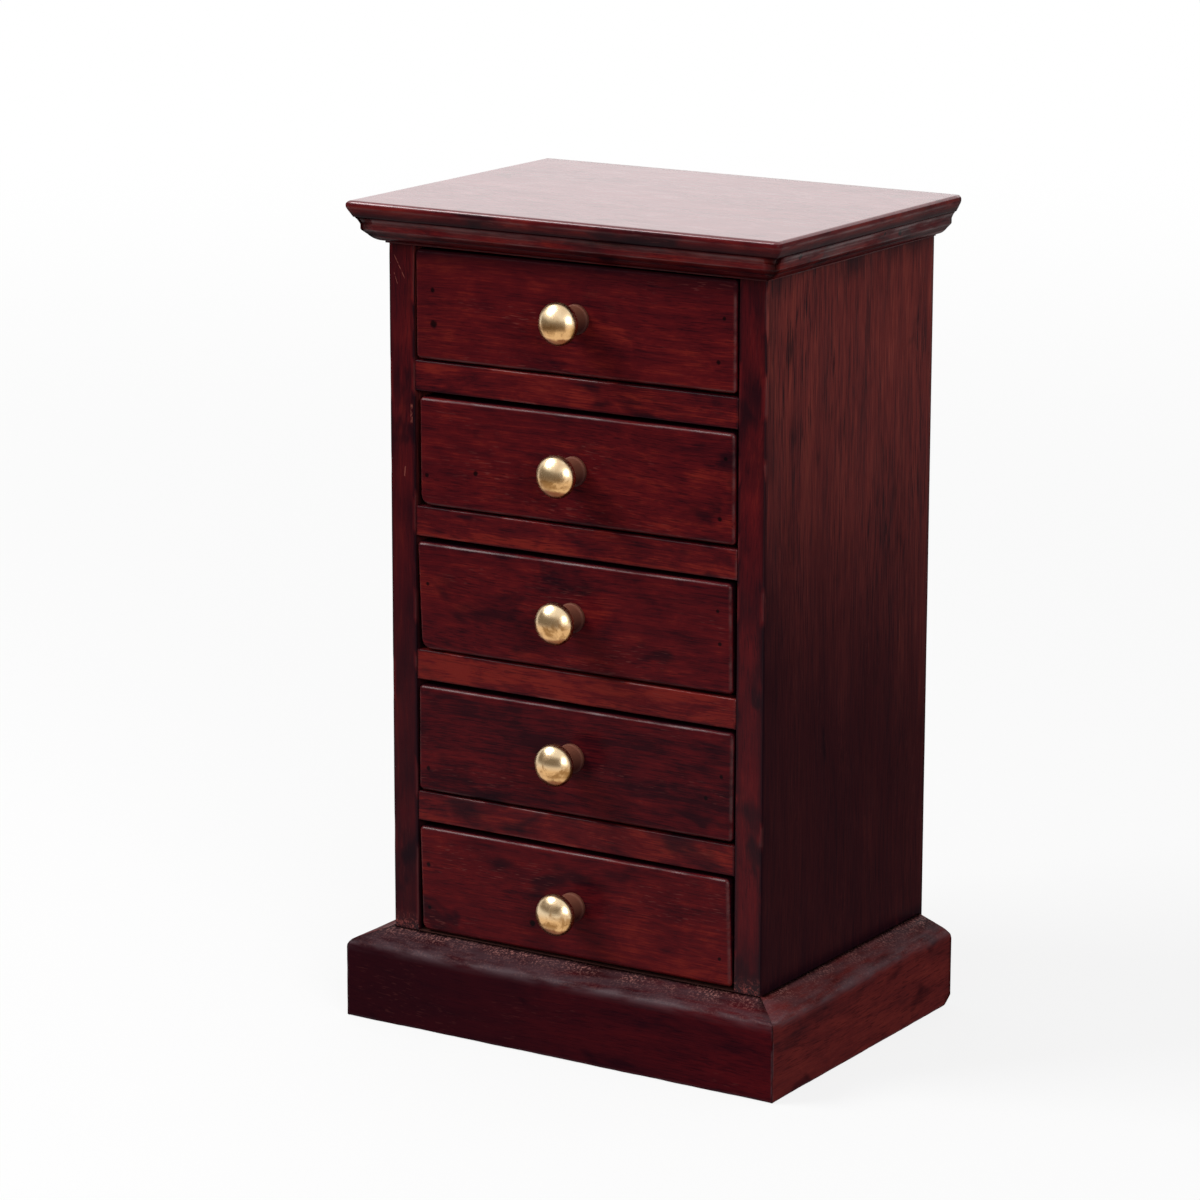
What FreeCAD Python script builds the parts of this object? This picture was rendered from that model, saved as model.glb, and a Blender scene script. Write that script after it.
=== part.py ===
import FreeCAD, Part
import math
import os
import Sketcher

# Mini drawer chest: a tabletop chest with five drawers, a moulded cornice and a plinth
# that wraps its front and sides. Stained hardwood throughout, with turned brass knobs.
#
# Frame: millimetres, +Z up. Someone who faces the drawers looks along +Y and has +X to the
# right, so a drawer opens towards -Y. The origin is on the floor, in the middle of the
# chest's width and midway between the noses of the knobs and the back of the case.
# Drawers are numbered from the top, divider rails too.

doc = FreeCAD.newDocument("MiniDrawerChest")

# Driving sizes

SIZES = {
    # Case
    "case_width": 157.0,
    "case_depth": 120.0,
    "side_thickness": 11.0,
    "side_arris": 0.7,
    "opening_height": 42.2,
    "rail_thickness": 11.3,
    "rail_depth": 24.0,
    "bottom_thickness": 11.0,
    "roof_thickness": 8.9,
    "back_thickness": 4.0,
    "back_rebate": 5.5,
    "back_panel_gap": 0.25,
    "back_panel_lift": 1.5,
    "runner_width": 9.0,
    # Stub tongues of the boards between the sides
    "tongue_length": 4.0,
    "tongue_thickness": 5.0,
    "tongue_setback": 6.0,
    # Top board
    "top_thickness": 6.0,
    "top_overhang": 10.8,
    "top_slant": 1.9,
    "top_edge": 2.4,
    "top_arris": 1.1,
    # Cornice moulding, from its top edge down to its foot against the case
    "cornice_setback": 0.3,
    "cove_reach": 1.5,
    "cove_drop": 2.6,
    "cove_radius": 12.0,
    "fillet_drop": 2.0,
    "quirk_reach": 1.9,
    "quirk_drop": 1.8,
    "ovolo_reach": 3.8,
    "ovolo_drop": 2.5,
    "ovolo_radius": 6.0,
    "foot_thickness": 0.7,
    "foot_drop": 0.8,
    # Plinth
    "plinth_height": 33.9,
    "plinth_outer_height": 29.3,
    "plinth_projection": 12.8,
    "plinth_arris": 2.5,
    # Drawer boxes
    "front_thickness": 10.0,
    "front_proud": 0.6,
    "front_arris": 1.5,
    "front_gap_top_left": 1.9,
    "front_gap_top_right": 1.3,
    "front_gap_foot_left": 0.5,
    "front_gap_foot_right": 1.1,
    "box_side_gap": 1.8,
    "box_running_gap": 0.3,
    "box_back_gap": 2.0,
    "box_side_thickness": 6.5,
    "box_side_height": 35.0,
    "box_back_thickness": 6.5,
    "box_bottom_thickness": 3.0,
    "box_bottom_rise": 3.5,
    "box_groove_depth": 2.5,
    # Knob and its screw
    "knob_projection": 16.7,
    "knob_head_diameter": 15.5,
    "knob_dome": 5.0,
    "knob_rim_radius": 3.0,
    "knob_neck_diameter": 8.6,
    "knob_neck_end": 7.6,
    "knob_base_diameter": 10.8,
    "knob_base_thickness": 1.2,
    "knob_base_step": 0.4,
    "knob_bore_depth": 9.0,
    "screw_diameter": 4.0,
    "screw_clearance": 0.2,
    "screw_engagement": 7.5,
    "screw_head_diameter": 7.6,
    "screw_head_height": 2.6,
    "screw_head_crown": 0.9,
    "screw_slot_width": 1.0,
    "screw_slot_depth": 1.2,
    # Panel pins
    "pin_diameter": 1.2,
    "drawer_pin_length": 18.0,
    "drawer_pin_low": 10.0,
    "drawer_pin_high": 28.0,
    "cornice_pin_length": 15.0,
    "plinth_pin_length": 20.0,
    "plinth_pin_rise": 2.5,
    "moulding_pin_spread": 60.0,
    "moulding_pin_inset": 14.0,
    "runner_pin_length": 16.0,
    "runner_pin_inset": 12.0,
    "back_pin_length": 14.0,
    "back_pin_inset": 18.0,
    "back_pin_spread": 32.0,
}

# Hand fitting of the drawer fronts, top drawer first: the gap beside the left edge at its
# top and foot, the gap beside the right edge at its top and foot, the radius that is worn on
# the lower left corner, and where the knob was bored: right of the middle, and above the sill.
FRONT_FITTING = [
    (0.8, 0.9, 0.9, 0.8, 2.0, 1.7, 21.2),
    (2.1, 2.3, 1.0, 0.8, 4.0, 0.8, 20.3),
    (0.7, 2.2, 2.0, 1.4, 4.0, 0.1, 20.6),
    (0.9, 0.7, 0.7, 0.9, 2.0, -0.1, 22.3),
    (0.7, 1.8, 2.1, 0.8, 3.0, 0.3, 20.2),
]
FITTING_NAMES = (
    "left_gap_top", "left_gap_foot", "right_gap_top", "right_gap_foot", "foot_radius",
    "knob_shift", "knob_rise",
)
DRAWERS = range(1, len(FRONT_FITTING) + 1)

for drawer, fitting in zip(DRAWERS, FRONT_FITTING):
    for fitting_name, fitting_value in zip(FITTING_NAMES, fitting):
        SIZES["drawer_%d_%s" % (drawer, fitting_name)] = fitting_value

sheet = doc.addObject("Spreadsheet::Sheet", "Sizes")
for row, (size_name, size_value) in enumerate(SIZES.items(), start=1):
    sheet.set("A%d" % row, size_name)
    sheet.set("B%d" % row, str(size_value))
    sheet.setAlias("B%d" % row, size_name)
doc.recompute()


# Lengths that carry their own expression


class Length:
    """A length: its present value and the expression on the sheet's cells that gives it."""

    def __init__(self, value, text):
        self.value = value
        self.text = text

    def __add__(self, other):
        other = as_length(other)
        return Length(self.value + other.value, "(%s + %s)" % (self.text, other.text))

    def __radd__(self, other):
        return as_length(other) + self

    def __sub__(self, other):
        other = as_length(other)
        return Length(self.value - other.value, "(%s - %s)" % (self.text, other.text))

    def __rsub__(self, other):
        return as_length(other) - self

    def __mul__(self, other):
        other = as_length(other)
        return Length(self.value * other.value, "(%s * %s)" % (self.text, other.text))

    def __rmul__(self, other):
        return as_length(other) * self

    def __truediv__(self, other):
        other = as_length(other)
        return Length(self.value / other.value, "(%s / %s)" % (self.text, other.text))

    def __neg__(self):
        return Length(-self.value, "(-%s)" % self.text)


def as_length(number):
    if isinstance(number, Length):
        return number
    return Length(float(number), repr(float(number)))


class Sheet:
    """The sheet's cells as attributes, each one a Length."""

    def __getattr__(self, name):
        return Length(getattr(sheet, name), "Sizes." + name)


S = Sheet()


def bind(feature, path, length):
    feature.setExpression(path, as_length(length).text)


# Modelling helpers

TURN_UP_TO_BACK = FreeCAD.Rotation(FreeCAD.Vector(1, 0, 0), -90)
TURN_UP_TO_FRONT = FreeCAD.Rotation(FreeCAD.Vector(1, 0, 0), 90)
TURN_UP_TO_RIGHT = FreeCAD.Rotation(FreeCAD.Vector(0, 1, 0), 90)
TURN_UP_TO_LEFT = FreeCAD.Rotation(FreeCAD.Vector(0, 1, 0), -90)
UNTURNED = FreeCAD.Rotation()


def about_z(degrees):
    return FreeCAD.Rotation(FreeCAD.Vector(0, 0, 1), degrees)


def place(piece, x, y, z, rotation=UNTURNED):
    piece.Placement = FreeCAD.Placement(FreeCAD.Vector(), rotation)
    bind(piece, "Placement.Base.x", x)
    bind(piece, "Placement.Base.y", y)
    bind(piece, "Placement.Base.z", z)


def new_body(name):
    return doc.addObject("PartDesign::Body", name)


def arc_between(start, end, radius, turns_left):
    """The shorter arc from start to end, which turns left or right as it goes."""
    chord = end - start
    middle = (start + end) * 0.5
    rise = math.sqrt(max(radius ** 2 - (chord.Length / 2) ** 2, 0.0))
    to_left = FreeCAD.Vector(-chord.y, chord.x, 0).normalize()
    centre = middle + to_left * (rise if turns_left else -rise)
    first, last = (start, end) if turns_left else (end, start)
    circle = Part.Circle(centre, FreeCAD.Vector(0, 0, 1), radius)
    first_angle = math.atan2(first.y - centre.y, first.x - centre.x)
    last_angle = math.atan2(last.y - centre.y, last.x - centre.x)
    return Part.ArcOfCircle(circle, first_angle, last_angle)


def fix_coordinate(drawing, edge, end, direction, distance):
    """Holds one coordinate of an edge's end at a distance from the sketch's origin."""
    distance = as_length(distance)
    origin_axis = -2 if direction == "DistanceX" else -1
    if abs(distance.value) < 1e-9:
        drawing.addConstraint(Sketcher.Constraint("PointOnObject", edge, end, origin_axis))
        return
    if distance.value > 0:
        rule = Sketcher.Constraint(direction, -1, 1, edge, end, distance.value)
        text = distance.text
    else:
        rule = Sketcher.Constraint(direction, edge, end, -1, 1, -distance.value)
        text = (-distance).text
    number = drawing.addConstraint(rule)
    name = "%s_%d" % (direction, edge)
    drawing.renameConstraint(number, name)
    drawing.setExpression("Constraints." + name, text)


def fix_middle(drawing, circle, x, y):
    """Holds a circle's middle, which a sketch counts as the third point of its edge."""
    fix_coordinate(drawing, circle, 3, "DistanceX", x)
    fix_coordinate(drawing, circle, 3, "DistanceY", y)


def new_sketch(body, name, plane, offset=0):
    """An empty sketch on one of the body's own planes, shifted along the plane's normal."""
    drawing = body.newObject("Sketcher::SketchObject", "%s_%s" % (body.Name, name))
    support = [feature for feature in body.Origin.OriginFeatures if feature.Role == plane]
    drawing.AttachmentSupport = [(support[0], "")]
    drawing.MapMode = "FlatFace"
    bind(drawing, "AttachmentOffset.Base.z", offset)
    return drawing


def outline(body, name, plane, points, offset=0, arcs=None):
    """A closed outline through the points. arcs gives some sides, by number, a radius and
    whether they turn left; the other sides are straight."""
    arcs = arcs or {}
    drawing = new_sketch(body, name, plane, offset)
    corners = [FreeCAD.Vector(as_length(x).value, as_length(y).value, 0) for x, y in points]
    ends = []
    for side, start in enumerate(corners):
        end = corners[(side + 1) % len(corners)]
        if side in arcs:
            radius, turns_left = arcs[side]
            drawing.addGeometry(arc_between(start, end, as_length(radius).value, turns_left))
            ends.append((1, 2) if turns_left else (2, 1))
        else:
            drawing.addGeometry(Part.LineSegment(start, end))
            ends.append((1, 2))
    for side, (x, y) in enumerate(points):
        following = (side + 1) % len(points)
        joint = Sketcher.Constraint("Coincident", side, ends[side][1], following, ends[following][0])
        drawing.addConstraint(joint)
        fix_coordinate(drawing, side, ends[side][0], "DistanceX", x)
        fix_coordinate(drawing, side, ends[side][0], "DistanceY", y)
    for side, (radius, turns_left) in arcs.items():
        number = drawing.addConstraint(Sketcher.Constraint("Radius", side, as_length(radius).value))
        drawing.renameConstraint(number, "radius_%d" % side)
        bind(drawing, "Constraints.radius_%d" % side, radius)
    return drawing


def rectangle(body, name, plane, low, high, offset=0):
    points = [low, (high[0], low[1]), high, (low[0], high[1])]
    return outline(body, name, plane, points, offset)


def extrude(kind, body, drawing, length, reverse=False, middle=False):
    """A Pad or a Pocket of a sketch. Unreversed, a pad grows along the sketch's normal and
    a pocket cuts against it."""
    feature = body.newObject("PartDesign::" + kind, "%s_%s" % (drawing.Name, kind.lower()))
    feature.Profile = drawing
    feature.Reversed = reverse
    feature.SideType = "Symmetric" if middle else "One side"
    bind(feature, "Length", length)
    return feature


def revolve(body, name, points, arcs=None):
    """Turns a half section about the body's Y axis: x is the radius, y the way along."""
    drawing = outline(body, name, "XY_Plane", points, arcs=arcs)
    feature = body.newObject("PartDesign::Revolution", drawing.Name + "_revolution")
    feature.Profile = drawing
    feature.ReferenceAxis = (drawing, ["V_Axis"])
    feature.Angle = 360
    return feature


def round_edges(body, name, radius, is_wanted):
    """Rounds the edges of the body's last feature that a test on the edge picks out."""
    doc.recompute()
    base = body.Tip
    wanted = ["Edge%d" % (number + 1) for number, edge in enumerate(base.Shape.Edges) if is_wanted(edge)]
    feature = body.newObject("PartDesign::Fillet", "%s_%s" % (body.Name, name))
    feature.Base = (base, wanted)
    bind(feature, "Radius", radius)
    return feature


def is_at(coordinate, length):
    return abs(coordinate - as_length(length).value) < 1e-4


def runs_along(edge, axis):
    """Whether a straight edge is parallel to the axis."""
    if len(edge.Vertexes) != 2 or edge.Curve.TypeId != "Part::GeomLine":
        return False
    along = edge.Vertexes[1].Point - edge.Vertexes[0].Point
    return abs(abs(along.normalize().dot(axis)) - 1) < 1e-6


def board(name, width, depth, height, x, y, z):
    """A plain board from its lowest corner: width along X, depth along Y, height up."""
    body = new_body(name)
    face = rectangle(body, "plan", "XY_Plane", (0, 0), (width, depth))
    extrude("Pad", body, face, height)
    place(body, x, y, z)
    return body


def pin(name, length, x, y, z, rotation):
    """One panel pin that starts at a point and runs the way its rotation turns +Z."""
    cylinder = doc.addObject("Part::Cylinder", name)
    bind(cylinder, "Radius", S.pin_diameter / 2)
    bind(cylinder, "Height", length)
    place(cylinder, x, y, z, rotation)
    return cylinder


def group(name, members):
    compound = doc.addObject("Part::Compound", name)
    compound.Links = members
    return compound


pieces = {}


def keep(name, piece):
    """Names a finished piece; the name is its node and its file."""
    piece.Label = name
    pieces[name] = piece
    return piece


def cut(name, blank, *tools):
    """A finished piece: the blank with what sits in it cut away."""
    blank.Label = name + "_blank"
    tool = tools[0]
    if len(tools) > 1:
        tool = group(name + "_housings", list(tools))
    piece = doc.addObject("Part::Cut", name)
    piece.Base = blank
    piece.Tool = tool
    return keep(name, piece)


# Levels and planes that several pieces share

OPENING_WIDTH = S.case_width - 2 * S.side_thickness
PITCH = S.opening_height + S.rail_thickness
CASE_FRONT = (S.front_proud + S.knob_projection - S.case_depth) / 2
CASE_BACK = CASE_FRONT + S.case_depth
PANEL_FRONT = CASE_BACK - S.back_thickness
ROOF_LEVEL = S.plinth_height + len(DRAWERS) * PITCH - S.rail_thickness
CASE_TOP = ROOF_LEVEL + S.roof_thickness
INNER_DEPTH = S.case_depth - S.back_thickness
HANDS = {"left": -1, "right": 1}


def floor_level(number):
    """The height of the surface that a drawer runs on."""
    return S.plinth_height + (len(DRAWERS) - number) * PITCH


def rail_level(number):
    """The underside of the divider rail below a drawer."""
    return floor_level(number) - S.rail_thickness


# Pins of the case, which the boards below are bored for

moulding_pins = []
for level, reach, length, ring in (
    (CASE_TOP - S.cove_drop - S.fillet_drop / 2,
     S.top_overhang - S.top_slant - S.cornice_setback - S.cove_reach, S.cornice_pin_length, "cornice"),
    (S.plinth_height - S.bottom_thickness + S.plinth_pin_rise,
     S.plinth_projection, S.plinth_pin_length, "plinth"),
):
    for step in (-1, 0, 1):
        across = step * S.moulding_pin_spread
        name = "%s_front_pin_%d" % (ring, step + 2)
        moulding_pins.append(pin(name, length, across, CASE_FRONT - reach, level, TURN_UP_TO_BACK))
    middle_depth = CASE_FRONT + S.case_depth / 2
    half_run = S.case_depth / 2 - S.moulding_pin_inset
    for hand, sign in HANDS.items():
        turn = TURN_UP_TO_LEFT if hand == "right" else TURN_UP_TO_RIGHT
        for step in (-1, 0, 1):
            name = "%s_%s_pin_%d" % (ring, hand, step + 2)
            side_plane = sign * (S.case_width / 2 + reach)
            moulding_pins.append(pin(name, length, side_plane, middle_depth + step * half_run, level, turn))
keep("moulding_pins", group("moulding_pins", moulding_pins))

runner_pins = []
for number in DRAWERS[:-1]:
    level = rail_level(number) + S.rail_thickness / 2
    for hand, sign in HANDS.items():
        turn = TURN_UP_TO_RIGHT if hand == "right" else TURN_UP_TO_LEFT
        inner_face = sign * (OPENING_WIDTH / 2 - S.runner_width)
        for end, depth in (
            ("front", CASE_FRONT + S.rail_depth + S.runner_pin_inset),
            ("rear", PANEL_FRONT - S.runner_pin_inset),
        ):
            name = "runner_pin_%s_%s_%d" % (hand, end, number)
            runner_pins.append(pin(name, S.runner_pin_length, inner_face, depth, level, turn))
keep("runner_pins", group("runner_pins", runner_pins))

back_panel_pins = []
SIDE_PIN_ROWS = 4
pin_run = CASE_TOP - 2 * S.back_pin_inset
for hand, sign in HANDS.items():
    line = sign * (OPENING_WIDTH / 2 + S.back_rebate / 2)
    for row in range(SIDE_PIN_ROWS):
        level = S.back_pin_inset + row * pin_run / (SIDE_PIN_ROWS - 1)
        name = "back_pin_%s_%d" % (hand, row + 1)
        back_panel_pins.append(pin(name, S.back_pin_length, line, CASE_BACK, level, TURN_UP_TO_FRONT))
    for board_name, level in (
        ("roof", ROOF_LEVEL + S.roof_thickness / 2),
        ("bottom", S.plinth_height - S.bottom_thickness / 2),
    ):
        name = "back_pin_%s_%s" % (board_name, hand)
        across = sign * S.back_pin_spread
        back_panel_pins.append(pin(name, S.back_pin_length, across, CASE_BACK, level, TURN_UP_TO_FRONT))
keep("back_panel_pins", group("back_panel_pins", back_panel_pins))

CASE_PINS = [pieces["moulding_pins"], pieces["runner_pins"], pieces["back_panel_pins"]]


# Boards between the sides: bottom, roof and the four divider rails


def cross_board(name, thickness, depth, level):
    """A board between the sides, with a stub tongue along the middle of each end."""
    body = new_body(name)
    half = OPENING_WIDTH / 2
    plan = rectangle(body, "plan", "XY_Plane", (-half, 0), (half, depth))
    extrude("Pad", body, plan, thickness)
    reach = half + S.tongue_length
    tongue_floor = (thickness - S.tongue_thickness) / 2
    tongues = rectangle(body, "tongues", "XY_Plane", (-reach, S.tongue_setback), (reach, depth), tongue_floor)
    extrude("Pad", body, tongues, S.tongue_thickness)
    place(body, 0, CASE_FRONT, level)
    return body


bottom_level = S.plinth_height - S.bottom_thickness
bottom_blank = cross_board("bottom_blank", S.bottom_thickness, INNER_DEPTH, bottom_level)
cut("bottom_board", bottom_blank, pieces["moulding_pins"], pieces["back_panel_pins"])

roof_blank = cross_board("roof_blank", S.roof_thickness, INNER_DEPTH, ROOF_LEVEL)
cut("case_top_board", roof_blank, pieces["moulding_pins"], pieces["back_panel_pins"])

for number in DRAWERS[:-1]:
    rail_name = "divider_rail_%d" % number
    keep(rail_name, cross_board(rail_name, S.rail_thickness, S.rail_depth, rail_level(number)))


# Side panels, from the floor to the top board, grain upright


def side_panel(hand):
    """One side: rebated behind for the back panel and mortised for every tongue. Its own
    frame has its inner face on X = 0 and its front lower corner at the origin."""
    outward = hand == "right"
    body = new_body(hand + "_side_blank")
    face = rectangle(body, "face", "YZ_Plane", (0, 0), (S.case_depth, CASE_TOP))
    extrude("Pad", body, face, S.side_thickness, reverse=not outward)
    outer_plane = S.side_thickness if outward else -S.side_thickness
    round_edges(body, "arris", S.side_arris, lambda edge: (
        runs_along(edge, FreeCAD.Vector(0, 0, 1))
        and is_at(edge.CenterOfMass.x, outer_plane)
        and is_at(edge.CenterOfMass.y, 0)
    ))
    rebate = rectangle(body, "rebate", "YZ_Plane", (INNER_DEPTH, 0), (S.case_depth, CASE_TOP))
    extrude("Pocket", body, rebate, S.back_rebate, reverse=outward)
    mortises = [
        ("bottom", S.bottom_thickness, INNER_DEPTH, bottom_level),
        ("roof", S.roof_thickness, INNER_DEPTH, ROOF_LEVEL),
        ("rail", S.rail_thickness, S.rail_depth, rail_level(DRAWERS[-2])),
    ]
    for name, thickness, depth, level in mortises:
        low = level + (thickness - S.tongue_thickness) / 2
        high = low + S.tongue_thickness
        mouth = rectangle(body, name, "YZ_Plane", (S.tongue_setback, low), (depth, high))
        mortise = extrude("Pocket", body, mouth, S.tongue_length, reverse=outward)
    pattern = body.newObject("PartDesign::LinearPattern", hand + "_rail_mortises")
    pattern.Originals = [mortise]
    upright = [feature for feature in body.Origin.OriginFeatures if feature.Role == "Z_Axis"]
    pattern.Direction = (upright[0], [""])
    pattern.Occurrences = len(DRAWERS) - 1
    bind(pattern, "Length", (len(DRAWERS) - 2) * PITCH)
    body.Tip = pattern
    place(body, HANDS[hand] * OPENING_WIDTH / 2, CASE_FRONT, 0)
    return cut(hand + "_side_panel", body, *CASE_PINS)


for hand in HANDS:
    side_panel(hand)


# Back panel in the rebates of the sides

panel_width = OPENING_WIDTH + 2 * (S.back_rebate - S.back_panel_gap)
panel_height = CASE_TOP - S.back_panel_lift
panel_blank = board(
    "back_blank", panel_width, S.back_thickness, panel_height,
    -panel_width / 2, PANEL_FRONT, S.back_panel_lift,
)
cut("back_panel", panel_blank, pieces["back_panel_pins"])


# Drawer runners, a pair behind each divider rail

runners = []
runner_length = INNER_DEPTH - S.rail_depth
for number in DRAWERS[:-1]:
    for hand in HANDS:
        x = OPENING_WIDTH / 2 - S.runner_width if hand == "right" else -OPENING_WIDTH / 2
        runner = doc.addObject("Part::Box", "runner_%s_%d" % (hand, number))
        bind(runner, "Length", S.runner_width)
        bind(runner, "Width", runner_length)
        bind(runner, "Height", S.rail_thickness)
        place(runner, x, CASE_FRONT + S.rail_depth, rail_level(number))
        runners.append(runner)
cut("drawer_runners", group("runner_blanks", runners), pieces["runner_pins"])


# Top board: its front and side edges slant in towards the cornice, its back is square


def top_outline(body, name, overhang, level):
    half = S.case_width / 2 + overhang
    return rectangle(body, name, "XY_Plane", (-half, -overhang), (half, S.case_depth), level)


top_body = new_body("top_board")
slant_head = S.top_thickness - S.top_edge
upper_face = top_outline(top_body, "slant_head", S.top_overhang, slant_head)
lower_face = top_outline(top_body, "slant_foot", S.top_overhang - S.top_slant, 0)
top_loft = top_body.newObject("PartDesign::AdditiveLoft", "top_board_slant")
top_loft.Profile = lower_face
top_loft.Sections = [upper_face]
top_loft.Ruled = True
top_edge = top_outline(top_body, "edge", S.top_overhang, slant_head)
extrude("Pad", top_body, top_edge, S.top_edge)
round_edges(top_body, "arris", S.top_arris, lambda edge: (
    is_at(edge.BoundBox.ZMin, S.top_thickness)
    and not is_at(edge.CenterOfMass.y, S.case_depth)
))
place(top_body, 0, CASE_FRONT, CASE_TOP)
keep("top_board", top_body)


# Mouldings round three sides: the cornice under the top board and the plinth


def section_strip(body, section, arcs, hand, overhang):
    """The strip with its moulded section, before its mitres. In its own frame +Y points out
    of the case and X = 0 is the case's corner, or the middle of the front strip."""
    if hand == "front":
        drawing = outline(body, "section", "YZ_Plane", section, arcs=arcs)
        extrude("Pad", body, drawing, S.case_width + 2 * overhang, middle=True)
        return
    sign = HANDS[hand]
    drawing = outline(body, "section", "YZ_Plane", section, sign * overhang, arcs)
    extrude("Pad", body, drawing, S.case_depth + overhang, reverse=hand == "right")


def mitre(body, hand, overhang, height):
    """Cuts the strip's corners along the diagonal from the case's corner outwards. A front
    strip is cut at both ends, a side strip at its front end."""
    if hand == "front":
        for end, sign in HANDS.items():
            corner = sign * S.case_width / 2
            tip = corner + sign * overhang
            waste = outline(body, end + "_mitre", "XY_Plane", [(corner, 0), (tip, 0), (tip, overhang)])
            extrude("Pocket", body, waste, height, reverse=True)
        return
    tip = HANDS[hand] * overhang
    waste = outline(body, "mitre", "XY_Plane", [(0, 0), (tip, 0), (tip, overhang)])
    extrude("Pocket", body, waste, height, reverse=True)


STRIP_OUTWARD = {"front": (0, -1), "left": (-1, 0), "right": (1, 0)}


def facing(hand):
    """The turn that brings a strip's own +Y to the way the strip faces on the chest."""
    out_x, out_y = STRIP_OUTWARD[hand]
    return about_z(math.degrees(math.atan2(-out_x, out_y)))


def moulding(ring, hand, section, arcs, overhang, height, level, arris=None):
    body = new_body("%s_%s_blank" % (ring, hand))
    section_strip(body, section, arcs, hand, overhang)
    if arris:
        radius, edge_level = arris
        round_edges(body, "arris", radius, lambda edge: (
            runs_along(edge, FreeCAD.Vector(1, 0, 0))
            and is_at(edge.CenterOfMass.y, overhang)
            and is_at(edge.CenterOfMass.z, edge_level)
        ))
    mitre(body, hand, overhang, height)
    x = 0 if hand == "front" else HANDS[hand] * S.case_width / 2
    place(body, x, CASE_FRONT, level, facing(hand))
    return cut("%s_%s" % (ring, hand), body, pieces["moulding_pins"])


cornice_reach = S.top_overhang - S.top_slant - S.cornice_setback
fillet_reach = cornice_reach - S.cove_reach
quirk_reach = fillet_reach - S.quirk_reach
soffit_reach = quirk_reach - S.ovolo_reach
cornice_height = S.cove_drop + S.fillet_drop + S.quirk_drop + S.ovolo_drop + S.foot_drop
ovolo_foot = S.foot_drop
ovolo_head = ovolo_foot + S.ovolo_drop
fillet_foot = ovolo_head + S.quirk_drop
fillet_head = fillet_foot + S.fillet_drop
CORNICE_SECTION = [
    (0, 0),
    (S.foot_thickness, 0),
    (S.foot_thickness, ovolo_foot),
    (soffit_reach, ovolo_foot),
    (quirk_reach, ovolo_head),
    (fillet_reach, fillet_foot),
    (fillet_reach, fillet_head),
    (cornice_reach, cornice_height),
    (0, cornice_height),
]
CORNICE_ARCS = {
    3: (S.ovolo_radius, True),
    6: (S.cove_radius, False),
}
PLINTH_SECTION = [
    (0, 0),
    (S.plinth_projection, 0),
    (S.plinth_projection, S.plinth_outer_height),
    (0, S.plinth_height),
]
for hand in STRIP_OUTWARD:
    moulding("cornice", hand, CORNICE_SECTION, CORNICE_ARCS, cornice_reach, cornice_height,
             CASE_TOP - cornice_height)
    moulding("plinth", hand, PLINTH_SECTION, None, S.plinth_projection, S.plinth_height, 0,
             (S.plinth_arris, S.plinth_outer_height))


# Drawers

FRONT_FACE = CASE_FRONT - S.front_proud
BOX_FRONT = FRONT_FACE + S.front_thickness
BOX_BACK = PANEL_FRONT - S.box_back_gap
BOX_HALF_WIDTH = OPENING_WIDTH / 2 - S.box_side_gap
BOX_INNER_HALF = BOX_HALF_WIDTH - S.box_side_thickness
BOTTOM_HALF = BOX_INNER_HALF + S.box_groove_depth


def fitting(number):
    """One drawer's hand-fitted sizes, in the order of their names."""
    return [getattr(S, "drawer_%d_%s" % (number, name)) for name in FITTING_NAMES]


def drawer_front_blank(number):
    """The front, hand fitted to its opening, with an eased edge all round and a hole for
    the knob's screw. Its own frame starts in the middle of the opening's sill."""
    left_top, left_foot, right_top, right_foot, radius, knob_shift, knob_rise = fitting(number)
    half = OPENING_WIDTH / 2
    corners = [
        (left_foot - half, S.front_gap_foot_left),
        (half - right_foot, S.front_gap_foot_right),
        (half - right_top, S.opening_height - S.front_gap_top_right),
        (left_top - half, S.opening_height - S.front_gap_top_left),
    ]
    body = new_body("drawer_%d_front_blank" % number)
    face = outline(body, "face", "XZ_Plane", corners)
    extrude("Pad", body, face, S.front_thickness, reverse=True)
    round_edges(body, "worn_corner", radius, lambda edge: (
        runs_along(edge, FreeCAD.Vector(0, 1, 0))
        and is_at(edge.CenterOfMass.x, corners[0][0])
        and is_at(edge.CenterOfMass.z, corners[0][1])
    ))
    round_edges(body, "arris", S.front_arris, lambda edge: is_at(edge.CenterOfMass.y, 0))
    bore = new_sketch(body, "bore", "XZ_Plane")
    bore_radius = S.screw_diameter / 2 + S.screw_clearance
    middle = FreeCAD.Vector(knob_shift.value, knob_rise.value, 0)
    bore.addGeometry(Part.Circle(middle, FreeCAD.Vector(0, 0, 1), bore_radius.value))
    fix_middle(bore, 0, knob_shift, knob_rise)
    rule = bore.addConstraint(Sketcher.Constraint("Radius", 0, bore_radius.value))
    bore.renameConstraint(rule, "radius")
    bind(bore, "Constraints.radius", bore_radius)
    extrude("Pocket", body, bore, S.front_thickness)
    place(body, 0, FRONT_FACE, floor_level(number))
    return body


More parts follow.
